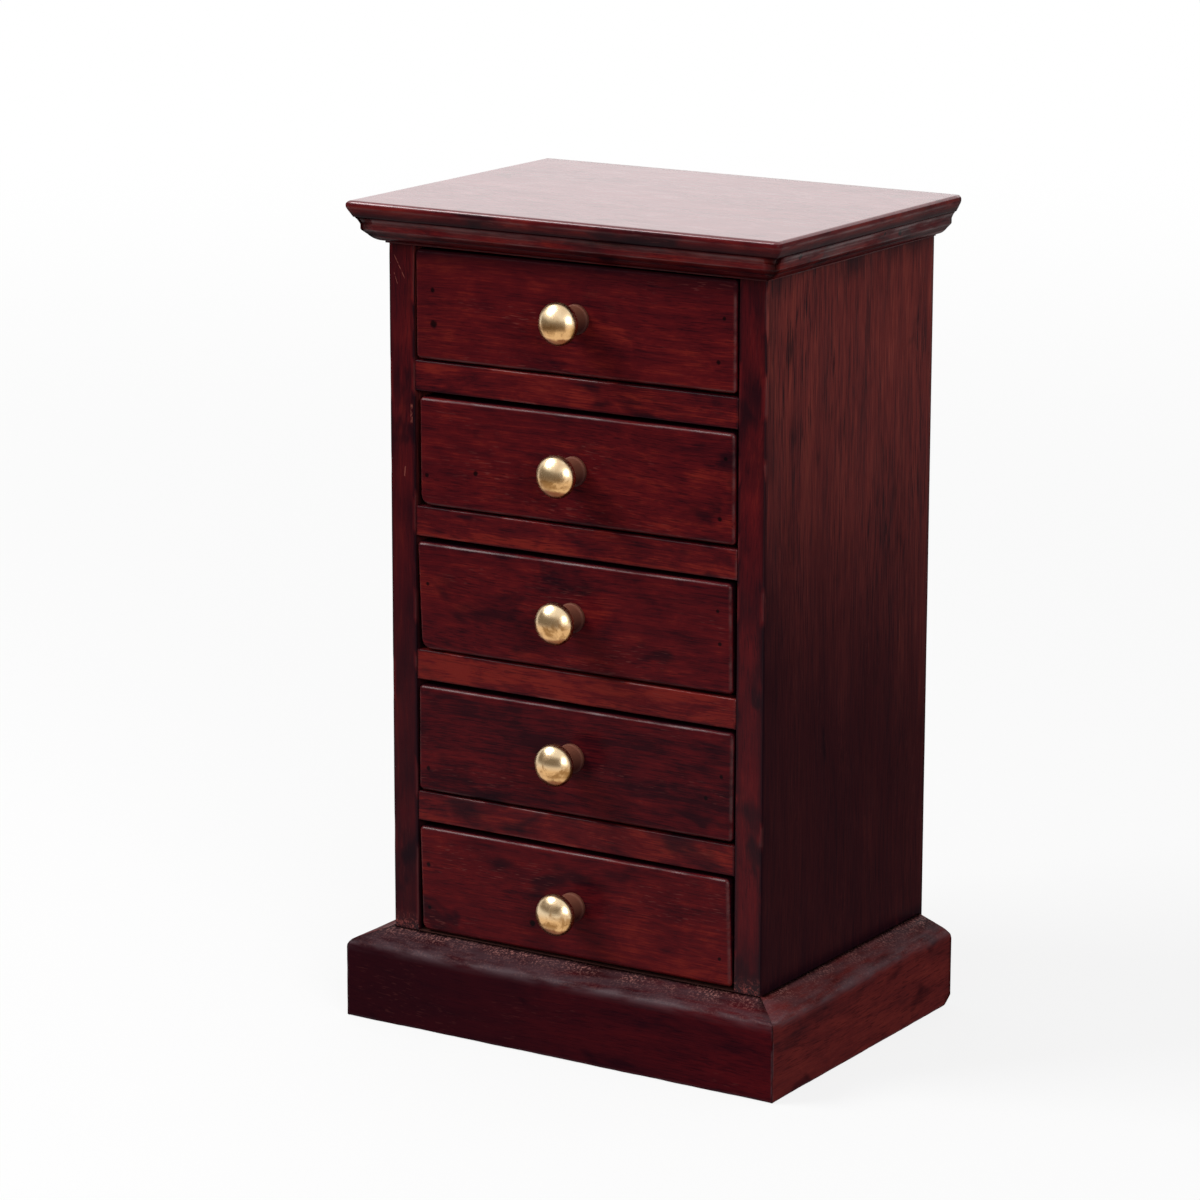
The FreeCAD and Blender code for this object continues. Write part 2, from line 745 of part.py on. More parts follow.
def drawer_pins(number, sill):
    """Two pins through each end of the front into the sides, and two through each side
    into the ends of the back."""
    label = "drawer_%d_pins" % number
    members = []
    for hand, sign in HANDS.items():
        inward = TURN_UP_TO_LEFT if hand == "right" else TURN_UP_TO_RIGHT
        for row, rise in (("low", S.drawer_pin_low), ("high", S.drawer_pin_high)):
            name = "%s_%s_%s" % (label, hand, row)
            side_middle = sign * (BOX_HALF_WIDTH - S.box_side_thickness / 2)
            members.append(pin(
                name + "_front", S.drawer_pin_length, side_middle, FRONT_FACE, sill + rise, TURN_UP_TO_BACK))
            back_middle = BOX_BACK - S.box_back_thickness / 2
            members.append(pin(
                name + "_rear", S.drawer_pin_length, sign * BOX_HALF_WIDTH, back_middle, sill + rise, inward))
    return keep(label, group(label, members))


# Where the round rim of a knob's head takes over from the cone behind it, as the angle
# from the rim's widest point.
RIM_START = math.radians(60)


def sagitta_radius(run, rise):
    """The radius of an arc that starts along its run and ends its rise away from it."""
    return (run * run + rise * rise) / (2 * rise)


def knob(number):
    """A turned knob: thin base, trumpet neck and a domed head with a round rim, and a blind
    bore behind for its screw. Its own frame has its base on Y = 0 and its nose at +Y."""
    name = "drawer_%d_knob" % number
    bore_radius = S.screw_diameter / 2
    neck_radius = S.knob_neck_diameter / 2
    base_radius = S.knob_base_diameter / 2
    flare_radius = base_radius - S.knob_base_step
    flare = sagitta_radius(S.knob_neck_end - S.knob_base_thickness, flare_radius - neck_radius)
    # The dome's circle is centred on the axis and touches the rim's circle from outside.
    rim = S.knob_rim_radius
    rim_centre = S.knob_head_diameter / 2 - rim
    rim_level = S.knob_projection - S.knob_dome
    dome = (rim_centre * rim_centre + S.knob_dome * S.knob_dome - rim * rim) / (2 * (S.knob_dome - rim))
    dome_centre = S.knob_projection - dome
    reach = dome / (dome - rim)
    section = [
        (bore_radius, 0),
        (base_radius, 0),
        (base_radius, S.knob_base_thickness),
        (flare_radius, S.knob_base_thickness),
        (neck_radius, S.knob_neck_end),
        (rim_centre + rim * math.cos(RIM_START), rim_level - rim * math.sin(RIM_START)),
        (rim_centre * reach, dome_centre + (rim_level - dome_centre) * reach),
        (0, S.knob_projection),
        (0, S.knob_bore_depth),
        (bore_radius, S.knob_bore_depth),
    ]
    body = new_body(name)
    revolve(body, "section", section, {3: (flare, False), 5: (rim, True), 6: (dome, True)})
    *_, knob_shift, knob_rise = fitting(number)
    place(body, knob_shift, FRONT_FACE, floor_level(number) + knob_rise, about_z(180))
    return keep(name, body)


def knob_screw(number):
    """A slotted pan head screw from inside the drawer. Its own frame has the underside of
    its head on Y = 0, its crown at +Y and its tip at -Y."""
    name = "drawer_%d_knob_screw" % number
    shank_length = S.front_thickness + S.screw_engagement
    shank_radius = S.screw_diameter / 2
    head_radius = S.screw_head_diameter / 2
    section = [
        (0, -shank_length),
        (shank_radius, -shank_length),
        (shank_radius, 0),
        (head_radius, 0),
        (head_radius, S.screw_head_height - S.screw_head_crown),
        (0, S.screw_head_height),
    ]
    body = new_body(name)
    revolve(body, "section", section, {4: (sagitta_radius(head_radius, S.screw_head_crown), True)})
    half_slot = S.screw_slot_width / 2
    slot_floor = S.screw_head_height - S.screw_slot_depth
    slot = rectangle(
        body, "slot", "XY_Plane", (-head_radius, slot_floor), (head_radius, S.screw_head_height), -half_slot)
    extrude("Pocket", body, slot, S.screw_slot_width, reverse=True)
    *_, knob_shift, knob_rise = fitting(number)
    place(body, knob_shift, BOX_FRONT, floor_level(number) + knob_rise)
    return keep(name, body)


def drawer(number):
    name = "drawer_%d" % number
    sill = floor_level(number) + S.box_running_gap
    side_length = BOX_BACK - BOX_FRONT
    bottom_level = sill + S.box_bottom_rise
    pins = drawer_pins(number, sill)
    bottom = board(
        name + "_bottom", 2 * BOTTOM_HALF, side_length + S.box_groove_depth, S.box_bottom_thickness,
        -BOTTOM_HALF, BOX_FRONT - S.box_groove_depth, bottom_level)
    keep(name + "_bottom", bottom)
    cut(name + "_front", drawer_front_blank(number), bottom, pins)
    for hand in HANDS:
        x = BOX_INNER_HALF if hand == "right" else -BOX_HALF_WIDTH
        side = board(
            "%s_%s_blank" % (name, hand), S.box_side_thickness, side_length, S.box_side_height,
            x, BOX_FRONT, sill)
        cut("%s_%s_side" % (name, hand), side, bottom, pins)
    back_rise = S.box_bottom_rise + S.box_bottom_thickness
    back = board(
        name + "_back_blank", 2 * BOX_INNER_HALF, S.box_back_thickness, S.box_side_height - back_rise,
        -BOX_INNER_HALF, BOX_BACK - S.box_back_thickness, sill + back_rise)
    cut(name + "_back", back, pins)
    knob(number)
    knob_screw(number)


for number in DRAWERS:
    drawer(number)


# Recompute, check and write every piece

doc.recompute()
for feature in doc.Objects:
    if "Invalid" in feature.State or "Error" in feature.State:
        raise RuntimeError("%s failed: %s" % (feature.Label, feature.State))
for name, piece in pieces.items():
    if piece.Shape.isNull() or not piece.Shape.isValid() or not piece.Shape.Solids:
        raise RuntimeError(name + " has no valid solid")

os.makedirs("parts", exist_ok=True)
whole = FreeCAD.BoundBox()
for name, piece in pieces.items():
    piece.Shape.exportStep("parts/%s.step" % name)
    whole.add(piece.Shape.BoundBox)
    print("%-24s %2d solids %10.1f mm3" % (name, len(piece.Shape.Solids), piece.Shape.Volume))
print("%d pieces, box %.2f x %.2f x %.2f mm, middle %.3f %.3f, foot %.3f" % (
    len(pieces), whole.XLength, whole.YLength, whole.ZLength, whole.Center.x, whole.Center.y, whole.ZMin))
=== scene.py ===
# %% [markdown]
# A small chest of five drawers, dressed for its picture.
# The solid model gives every piece its place. This file loads it as a fixed frame and puts
# hand-worn wood and turned brass on it. All lengths are in metres. Up is +Z, and the drawers
# open towards -Y.

# %% Load the frame
import math

import bmesh
import bpy
from mathutils import Matrix, Vector, noise


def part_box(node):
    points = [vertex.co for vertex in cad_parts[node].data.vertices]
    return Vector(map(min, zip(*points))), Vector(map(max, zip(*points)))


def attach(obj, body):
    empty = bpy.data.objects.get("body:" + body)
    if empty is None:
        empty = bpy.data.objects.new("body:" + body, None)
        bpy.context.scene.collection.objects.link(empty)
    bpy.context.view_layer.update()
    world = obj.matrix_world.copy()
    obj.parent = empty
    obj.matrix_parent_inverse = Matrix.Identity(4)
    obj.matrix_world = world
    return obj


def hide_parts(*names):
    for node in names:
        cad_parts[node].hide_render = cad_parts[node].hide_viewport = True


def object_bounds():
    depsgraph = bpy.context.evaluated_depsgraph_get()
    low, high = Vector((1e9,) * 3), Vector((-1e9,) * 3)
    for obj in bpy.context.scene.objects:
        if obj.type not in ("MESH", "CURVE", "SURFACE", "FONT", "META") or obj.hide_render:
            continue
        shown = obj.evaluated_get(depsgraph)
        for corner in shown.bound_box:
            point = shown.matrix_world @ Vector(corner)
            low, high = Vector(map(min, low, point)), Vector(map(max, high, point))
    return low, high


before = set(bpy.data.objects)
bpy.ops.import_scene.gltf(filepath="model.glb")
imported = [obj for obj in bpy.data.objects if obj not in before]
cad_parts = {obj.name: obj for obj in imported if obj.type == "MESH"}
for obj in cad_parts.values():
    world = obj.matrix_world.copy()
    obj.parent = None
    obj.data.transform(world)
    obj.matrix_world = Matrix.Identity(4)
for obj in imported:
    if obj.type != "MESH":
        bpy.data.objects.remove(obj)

CAD_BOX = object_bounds()
MM = 0.001
X, Y, Z = Vector((1, 0, 0)), Vector((0, 1, 0)), Vector((0, 0, 1))


def in_mm(box):
    return [[round(value / MM, 2) for value in corner] for corner in box]


print("box in mm:", in_mm(CAD_BOX))

# %% [markdown]
# Sizes that several pieces share. They repeat the solid model's own sizes, because the dressed
# pieces have to lie exactly where the solids lie. What can be read from a node's box is read.

# %% Planes of the case
side_low, side_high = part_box("right_side_panel")
CASE_HALF = side_high.x
INNER_HALF = side_low.x
CASE_FRONT = side_low.y
CASE_BACK = side_high.y
CASE_TOP = side_high.z
PLINTH_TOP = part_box("plinth_front")[1].z
CORNICE_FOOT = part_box("cornice_front")[0].z
TOP_LOW, TOP_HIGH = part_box("top_board")
PANEL_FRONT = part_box("back_panel")[0].y
REBATE = 5.5 * MM
DRAWERS = range(1, 6)
OPENING_HEIGHT = 42.2 * MM
PITCH = 53.5 * MM
FRONT_THICKNESS = 10 * MM
FRONT_FACE = CASE_FRONT - 0.6 * MM


def floor_level(number):
    """The height of the surface that a drawer runs on, counted from the top drawer."""
    return PLINTH_TOP + (DRAWERS[-1] - number) * PITCH


print("case half width %.2f mm, front %.2f, top %.2f"
      % (CASE_HALF / MM, CASE_FRONT / MM, CASE_TOP / MM))

# %% [markdown]
# Materials come first, because each piece takes one as it is made. The wood's pattern is
# arithmetic on a few noises. Written as nodes one by one that is long, so a small class wraps
# a socket and lets plain expressions add the Math nodes.

# %% A socket that does arithmetic


class Field:
    """A number, colour or vector that varies over a surface."""

    def __init__(self, nodes, socket):
        self.nodes = nodes
        self.socket = socket

    def maths(self, operation, first, second):
        return self.nodes.node("Math", {"operation": operation}, {0: first, 1: second})

    def __add__(self, other):
        return self.maths("ADD", self, other)

    def __sub__(self, other):
        return self.maths("SUBTRACT", self, other)

    def __rsub__(self, other):
        return self.maths("SUBTRACT", other, self)

    def __mul__(self, other):
        return self.maths("MULTIPLY", self, other)

    def __truediv__(self, other):
        return self.maths("DIVIDE", self, other)

    __radd__, __rmul__ = __add__, __mul__

    def at_least(self, other):
        return self.maths("MAXIMUM", self, other)

    def rise(self, low, high):
        """0 at low, 1 at high, a soft step between them, and level beyond both."""
        settings = {"interpolation_type": "SMOOTHSTEP", "clamp": True}
        sockets = {"Value": self, "From Min": low, "From Max": high}
        return self.nodes.node("MapRange", settings, sockets)


print("expressions add Math nodes")

# %% A tree of nodes, and a finish made of one


class Nodes:
    """A tree of nodes, with one way to add any node to it."""

    def __init__(self, tree):
        self.tree = tree

    def feed(self, socket, value):
        """Links a value that varies, and sets one that doesn't on the socket itself."""
        if isinstance(value, Field):
            self.tree.links.new(value.socket, socket)
        else:
            socket.default_value = value

    def node(self, kind, settings=None, sockets=None, output=0):
        """Any node: its settings come first, then the values or links of its sockets."""
        new = self.tree.nodes.new("ShaderNode" + kind)
        for key, value in (settings or {}).items():
            setattr(new, key, value)
        for key, value in (sockets or {}).items():
            self.feed(new.inputs[key], value)
        return Field(self, new.outputs[output])


class Finish(Nodes):
    """A material whose nodes end in one Principled shader."""

    def __init__(self, name, **constants):
        self.material = bpy.data.materials.new(name)
        self.material.use_nodes = True
        super().__init__(self.material.node_tree)
        self.shader = self.tree.nodes["Principled BSDF"]
        self.drive(**constants)

    def drive(self, **inputs):
        for name, value in inputs.items():
            title = name.replace("_", " ").title().replace("Ior", "IOR")
            self.feed(self.shader.inputs[title], value)

    def place(self):
        """The place on the piece in its own frame."""
        return self.node("TexCoord", output="Object")

    def axis(self, point, number):
        return self.node("SeparateXYZ", {}, {0: point}, output=number)

    def shifted(self, offset=(0, 0, 0)):
        """The place on the piece, moved so that no two boards match."""
        return self.node("Mapping", {}, {"Vector": self.place(), "Location": offset})

    def stretched(self, point, counts):
        """The point with so many pattern cells to the metre along X, Y and Z."""
        return self.node("VectorMath", {"operation": "MULTIPLY"}, {0: point, 1: counts})

    def cloud(self, point, counts, detail=2.0, roughness=0.5, distortion=0.0):
        """A noise with so many cells to the metre, a number or one for each axis."""
        counts = counts if isinstance(counts, (tuple, list)) else (counts,) * 3
        sockets = {"Vector": self.stretched(point, counts), "Scale": 1.0, "Detail": detail,
                   "Roughness": roughness, "Distortion": distortion}
        return self.node("TexNoise", {"noise_dimensions": "3D"}, sockets)

    def attribute(self, name):
        return self.node("Attribute", {"attribute_name": name}, output="Fac")

    def ramp(self, value, *stops):
        field = self.node("ValToRGB", {}, {"Fac": value})
        elements = field.socket.node.color_ramp.elements
        while len(elements) < len(stops):
            elements.new(1.0)
        for element, (position, colour) in zip(elements, stops):
            element.position = position
            element.color = (*colour, 1.0)
        return field

    def blend(self, low, high, factor):
        """A mix of two colours, each a link or three numbers."""
        low, high = (value if isinstance(value, Field) else (*value, 1.0) for value in (low, high))
        return self.node("Mix", {"data_type": "RGBA"}, {0: factor, 6: low, 7: high}, output=2)

    def bump(self, height, distance, strength):
        sockets = {"Strength": strength, "Distance": distance, "Height": height}
        self.drive(normal=self.node("Bump", {}, sockets))


print("the shading helpers are ready")

# %% [markdown]
# The wood. It is a pale hardwood under a red mahogany stain, with a thin satin lacquer. What
# the eye reads is, from large to small: dark clouds where the stain was wiped less, the
# board's figure, fine streaks, and short open pores, all drawn out along the grain. Worn
# arrises are paler and carry the gloss, and on the cornice some pale lines are painted
# highlights. Some arrises keep dark stain in patches, and creases, gaps and the places under
# the cornice are darkened as painted shade. The pieces below give each vertex a number for
# that: 1 on arrises and painted highlights, -1 on dark stain and painted shade.

# %% Colours and patterns of the wood
GRAIN_AXES = {"x": 0, "y": 1, "z": 2}
RED_STOPS = (
    (0.36, (0.027, 0.0038, 0.0068)),
    (0.46, (0.068, 0.0054, 0.0082)),
    (0.54, (0.098, 0.0068, 0.0090)),
    (0.66, (0.175, 0.0150, 0.0115)),
)
BROWN_STOPS = (
    (0.36, (0.056, 0.0120, 0.0140)),
    (0.46, (0.122, 0.0180, 0.0180)),
    (0.54, (0.166, 0.0245, 0.0215)),
    (0.66, (0.245, 0.0420, 0.0310)),
)
# Dark stain for clouds and pores, also laid as painted shade in creases, gaps and under the cornice
DARK_STAIN_AND_SHADE = (0.0075, 0.0028, 0.0058)
# Darker red where the vertices ask: painted shade on the side panels and under the cornice, a
# darker tone elsewhere
RED_STAIN_AND_SHADE = (0.0200, 0.0045, 0.0075)
WORN = (0.150, 0.042, 0.040)
PALE_PORE = (0.210, 0.055, 0.048)
FILLED_HOLE = (0.004, 0.002, 0.003)
SCRATCHED = (0.26, 0.070, 0.055)
PALE_GRIT = (0.400, 0.170, 0.150)
RED_GRIT = (0.300, 0.070, 0.062)
# Dark between the crumbs of grit: painted shade in their hollows
GRIT_HOLLOW_SHADE = (0.034, 0.014, 0.016)
SATIN = {"specular_ior_level": 0.0, "coat_roughness": 0.24}
# How far the side faces, plinths and fronts darken where their vertices ask
DARKEST = 0.88

# Each pattern: cells to the metre along the grain and across it, detail, roughness, distortion
SWAY_CELLS, SWAY = (8, 14), 10 * MM
FIGURE = (6, 66, 4, 0.55, 0.9)
MOTTLE = (60, 150, 4, 0.65, 0.4)
STREAKS = (26, 640, 3, 0.6)
FIBRES = (90, 2600, 2)
CLOUDS = (26, 52, 3, 0.6, 0.4)
PORE_PATCHES = (9, 40, 2)
PALE_DASHES = (240, 2300, 0)
DASH_PATCHES = (24, 70, 2)
RUBBING = (60, 260, 3, 0.55)


def along_grain(grain, along, across):
    counts = [across] * 3
    counts[GRAIN_AXES[grain]] = along
    return counts


print("two stains:", len(RED_STOPS), "and", len(BROWN_STOPS), "colours")

# %% [markdown]
# Single marks sit at their own places on a board: nail holes that were filled and stained
# black, and a few scratches on the left stile. Lengths in these lists are in millimetres.

# %% Filled holes and scratches


def spot_mask(finish, spots, along):
    """Ragged dots. Each has its place along X or Y, its height and its radius."""
    point = finish.place()
    place, height = finish.axis(point, GRAIN_AXES[along]), finish.axis(point, 2)
    ragged = finish.cloud(point, 900, 2) * 0.7
    mask = None
    for spot_place, spot_height, radius in spots:
        across = (place - spot_place * MM) / (radius * MM)
        up = (height - spot_height * MM) / (radius * MM)
        dot = 1 - (across * across + up * up + ragged).rise(0.55, 1.5)
        mask = dot if mask is None else mask.at_least(dot)
    return mask


def scratch_mask(finish, scratches):
    """Fine lines. Each has its middle (x, z), its lean, its height and its width."""
    point = finish.place()
    x, z = finish.axis(point, 0), finish.axis(point, 2)
    broken = finish.cloud(point, (500, 500, 700), 2).rise(0.36, 0.56)
    mask = None
    for middle_x, middle_z, lean, height, width in scratches:
        up = z - middle_z * MM
        across = (x - middle_x * MM - up * lean) / (width * MM)
        along = up / (height / 2 * MM)
        line = (1 - (across * across).rise(0.3, 1.0)) * (1 - (along * along).rise(0.6, 1.0))
        line = line * broken
        mask = line if mask is None else mask.at_least(line)
    return mask


print("masks for filled holes and scratches are ready")

# %% Stained and lacquered wood


def stained_wood(name, grain, offset, stops=RED_STOPS, tone=0.0, contrast=0.7, mottled=0.60,
                 streaky=0.38, cloudy=0.5, shade=0.0, pores=(150, 2000, 0.4), dashes=0.3,
                 wear_colour=WORN, worn_share=0.4, worn_sheen=0.6, gloss=0.09, spots=(),
                 spots_along="x", scratches=(), grit=None, polish=SATIN):
    """The chest's wood. grain is the axis it runs along, and tone shifts it lighter. contrast
    is how plainly the figure shows, and mottled and streaky are the shares of its blotches and
    lines. cloudy is how much lies under dark stain, and shade how far the colour darkens where
    the piece's vertices ask for it: painted shade on the side panels and under the cornice, a
    darker tone on the other pieces that use it. pores are dark, with cells along and across and
    a share. dashes are pale. grit is the colour of crumbly glue. polish is the lacquer."""
    finish = Finish(name, **polish)
    straight = finish.shifted(offset)
    sway = (finish.cloud(straight, along_grain(grain, *SWAY_CELLS), 1) - 0.5) * SWAY
    point = finish.node("VectorMath", {"operation": "ADD"}, {0: straight, 1: sway})

    def pattern(along, across, detail=3.0, roughness=0.55, distortion=0.0):
        return finish.cloud(point, along_grain(grain, along, across), detail, roughness, distortion)

    figure, mottle = pattern(*FIGURE) - 0.5, pattern(*MOTTLE) - 0.5
    streak, fibre = pattern(*STREAKS) - 0.5, pattern(*FIBRES) - 0.5
    level = figure * 0.45 + mottle * mottled + (streak + fibre) * streaky
    level = level * contrast + (0.5 + tone)
    clouds = pattern(*CLOUDS)
    cloud = clouds.rise(0.70 - 0.24 * cloudy, 0.82 - 0.24 * cloudy)
    pore_along, pore_across, pore_share = pores
    pore = pattern(pore_along, pore_across, 1).rise(0.56, 0.66)
    pore = pore * pattern(*PORE_PATCHES).rise(0.36, 0.58)
    dash = pattern(*PALE_DASHES).rise(0.66, 0.78) * pattern(*DASH_PATCHES).rise(0.50, 0.66)
    wear_and_painted_light, rub = finish.attribute("wear_and_painted_light"), pattern(*RUBBING)
    worn = wear_and_painted_light.at_least(0) * rub.rise(0.28, 0.66)
    held_stain_and_shade = (0 - wear_and_painted_light).at_least(0) * rub.rise(0.20, 0.48)
    sheen = gloss * (1 + mottle * contrast) + worn * worn_sheen

    colour = finish.ramp(level, *stops)
    # Where the vertices ask, the colour darkens: painted shade on some pieces, a darker tone on
    # others
    if shade:
        drift = (clouds - 0.5) * 0.45 + mottle * 0.3
        stain_and_shade_share = (finish.attribute("shade_and_stain_depth") + drift).rise(0.0, 1.0)
        colour = finish.blend(colour, RED_STAIN_AND_SHADE, stain_and_shade_share * shade)
        pore = pore * (1 - stain_and_shade_share * 0.6)
        sheen = sheen * (1 - stain_and_shade_share * (0.80 * shade))
    # Layers over the colour; the last is dark stain and painted shade where the vertex number is
    # below 0
    for laid_over, share in ((DARK_STAIN_AND_SHADE, cloud * 0.72), (DARK_STAIN_AND_SHADE, pore * pore_share),
                             (PALE_PORE, dash * dashes), (wear_colour, worn * worn_share),
                             (DARK_STAIN_AND_SHADE, held_stain_and_shade * 0.9)):
        colour = finish.blend(colour, laid_over, share)
    height = streak * 0.25 + fibre * 0.25 + mottle * 0.3 - pore * 0.4
    roughness = 0.42 + cloud * 0.12 + pore * 0.2

    if spots:
        plug = spot_mask(finish, spots, spots_along)
        colour = finish.blend(colour, FILLED_HOLE, plug * 0.9)
        height = height - plug * 0.8
    if scratches:
        scratch = scratch_mask(finish, scratches)
        colour = finish.blend(colour, SCRATCHED, scratch * 0.75)
        height = height - scratch * 0.5
    if grit:
        rough = finish.attribute("grit")
        crumbs = finish.cloud(straight, 1100, 4, 0.75)
        crust = finish.cloud(straight, 170, 3, 0.6).rise(0.30, 0.52)
        # Painted shade in the hollows between the crumbs
        colour = finish.blend(colour, GRIT_HOLLOW_SHADE, rough * crumbs.rise(0.62, 0.44) * 0.7)
        colour = finish.blend(colour, grit, rough * crust * crumbs.rise(0.50, 0.62))
        height = height + rough * crumbs * 2.6
        roughness = roughness + rough * 0.2
        sheen = sheen + rough * 0.12
    finish.drive(base_color=colour, roughness=roughness, coat_weight=sheen)
    finish.bump(height, 0.16 * MM, 0.6)
    return finish.material


print("stained wood is ready")

# %% [markdown]
# Modelling helpers. Each piece starts as a cube or as one face drawn out into a solid. Bevels
# ease its edges, and cuts across it add the vertices that hold wear and a hand-worked surface.

# %% Blocks, bars and cuts
SAME_PLACE = 1e-6


def of_kind(geometry, kind):
    return [item for item in geometry if isinstance(item, kind)]


def block(low, high):
    """A plain board between two corners."""
    bm = bmesh.new()
    bmesh.ops.create_cube(bm, size=1.0)
    bmesh.ops.scale(bm, vec=high - low, verts=bm.verts)
    bmesh.ops.translate(bm, vec=(low + high) / 2, verts=bm.verts)
    return bm


def draw_out(bm, faces, along):
    """Draws faces out along a vector and returns the vertices at the new end."""
    drawn = bmesh.ops.extrude_face_region(bm, geom=faces)
    moved = of_kind(drawn["geom"], bmesh.types.BMVert)
    bmesh.ops.translate(bm, vec=along, verts=moved)
    return moved


def drawn_bar(section, origin, across, up, along):
    """One flat face, given as points across and up from the origin, drawn out to a bar."""
    bm = bmesh.new()
    corners = [bm.verts.new(origin + across * u + up * v) for u, v in section]
    moved = draw_out(bm, [bm.faces.new(corners)], along)
    bmesh.ops.recalc_face_normals(bm, faces=bm.faces)
    return bm, moved


def ease(bm, radius, at, segments=3, spare=lambda co: False):
    """Rounds the edges with both ends at a place, but none with both ends at a spared one."""
    both = lambda edge, test: all(test(vert.co) for vert in edge.verts)
    edges = [edge for edge in bm.edges if both(edge, at) and not both(edge, spare)]
    bmesh.ops.bevel(bm, geom=edges, offset=radius, offset_type="OFFSET", segments=segments,
                    profile=0.5, affect="EDGES", material=-1, clamp_overlap=True)


def near(value, target, reach=0.02 * MM):
    return abs(value - target) < reach


def slice_at(bm, place, normal, **options):
    """Cuts every face that a plane meets."""
    everything = bm.verts[:] + bm.edges[:] + bm.faces[:]
    return bmesh.ops.bisect_plane(bm, geom=everything, dist=SAME_PLACE, plane_co=place,
                                  plane_no=normal, **options)


def cut_across(bm, axis, low, high, step=1.0):
    """Adds rings of vertices at even steps between two planes."""
    count = max(int(round((high - low) / step)), 1)
    normal = (X, Y, Z)[axis]
    for number in range(count + 1):
        slice_at(bm, normal * (low + (high - low) * number / count), normal)


print("blocks, bars and cuts are ready")

# %% Wear, and putting a piece in its place


def fade(distance, reach, start=1.0):
    """The start value at no distance, falling to 0 and no lower."""
    return max(start - distance / reach, 0.0)


def clamp(value, low=0.0, high=1.0):
    return min(max(value, low), high)


def mark(bm, name, rule):
    """Gives every vertex a number by a rule on its place."""
    layer = bm.verts.layers.float.new(name)
    for vert in bm.verts:
        vert[layer] = rule(vert.co)


def board_wear(low, high, reach):
    """1 on a board's arrises, down to 0 at a distance from them."""
    def rule(co):
        gaps = sorted(min(co[axis] - low[axis], high[axis] - co[axis]) for axis in range(3))
        return min(fade(gaps[1], reach, 1.15), 1.0)
    return rule


def work_by_hand(bm, flat, arris, seed):
    """Sinks the surface a little, unevenly, and the worn arrises more."""
    layer = bm.verts.layers.float["wear_and_painted_light"]
    bm.normal_update()
    shift = Vector((seed * 3.1, seed * 7.7, seed * 1.3))
    for vert in bm.verts:
        slow = 0.5 + 0.5 * noise.noise(vert.co * 55 + shift)
        quick = 0.5 + 0.5 * noise.noise(vert.co * 260 + shift)
        worn = max(vert[layer], 0.0)
        vert.co -= vert.normal * (flat * slow + arris * worn * (0.6 * slow + 0.6 * quick))


def put_in_scene(bm, name, material):
    """An object at the origin with this mesh and material."""
    mesh = bpy.data.meshes.new(name)
    bm.to_mesh(mesh)
    bm.free()
    mesh.materials.append(material)
    thing = bpy.data.objects.new(name, mesh)
    bpy.context.scene.collection.objects.link(thing)
    return thing


def settle(bm, name, material, node, body="case"):
    """Makes a piece of the mesh, riding on its body in place of its node."""
    bmesh.ops.remove_doubles(bm, verts=bm.verts, dist=SAME_PLACE)
    bmesh.ops.recalc_face_normals(bm, faces=bm.faces)
    for face in bm.faces:
        face.smooth = True
    piece = put_in_scene(bm, name, material)
    piece.modifiers.new("even_normals", "WEIGHTED_NORMAL").keep_sharp = True
    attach(piece, body)
    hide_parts(node)
    piece.data.calc_loop_triangles()
    print("%-26s %6d triangles" % (name, len(piece.data.loop_triangles)))
    return piece


# %% [markdown]
# The side panels stand from the floor to the top board, with their grain upright. Their front
# edges are the chest's stiles. The back's rebate runs down their inner rear corner.

# %% Side panels
SCRATCHES = (
    (-73.6, 281.0, -0.55, 9.0, 0.22), (-75.2, 276.5, -0.35, 5.0, 0.18),
    (-68.9, 228.0, 0.02, 7.5, 0.55), (-72.0, 206.5, 0.10, 4.0, 0.30),
)
OUTER_ARRIS, INNER_ARRIS = 1.0 * MM, 0.5 * MM
DARK_STRIPE, FOOT_STRIPE, GRIT_HEIGHT = 9 * MM, 5 * MM, 4.5 * MM
# The side panels' painted shade is full below this height and fades out over this run
SHADE_BELOW, SHADE_RUN = 0.09, 0.21


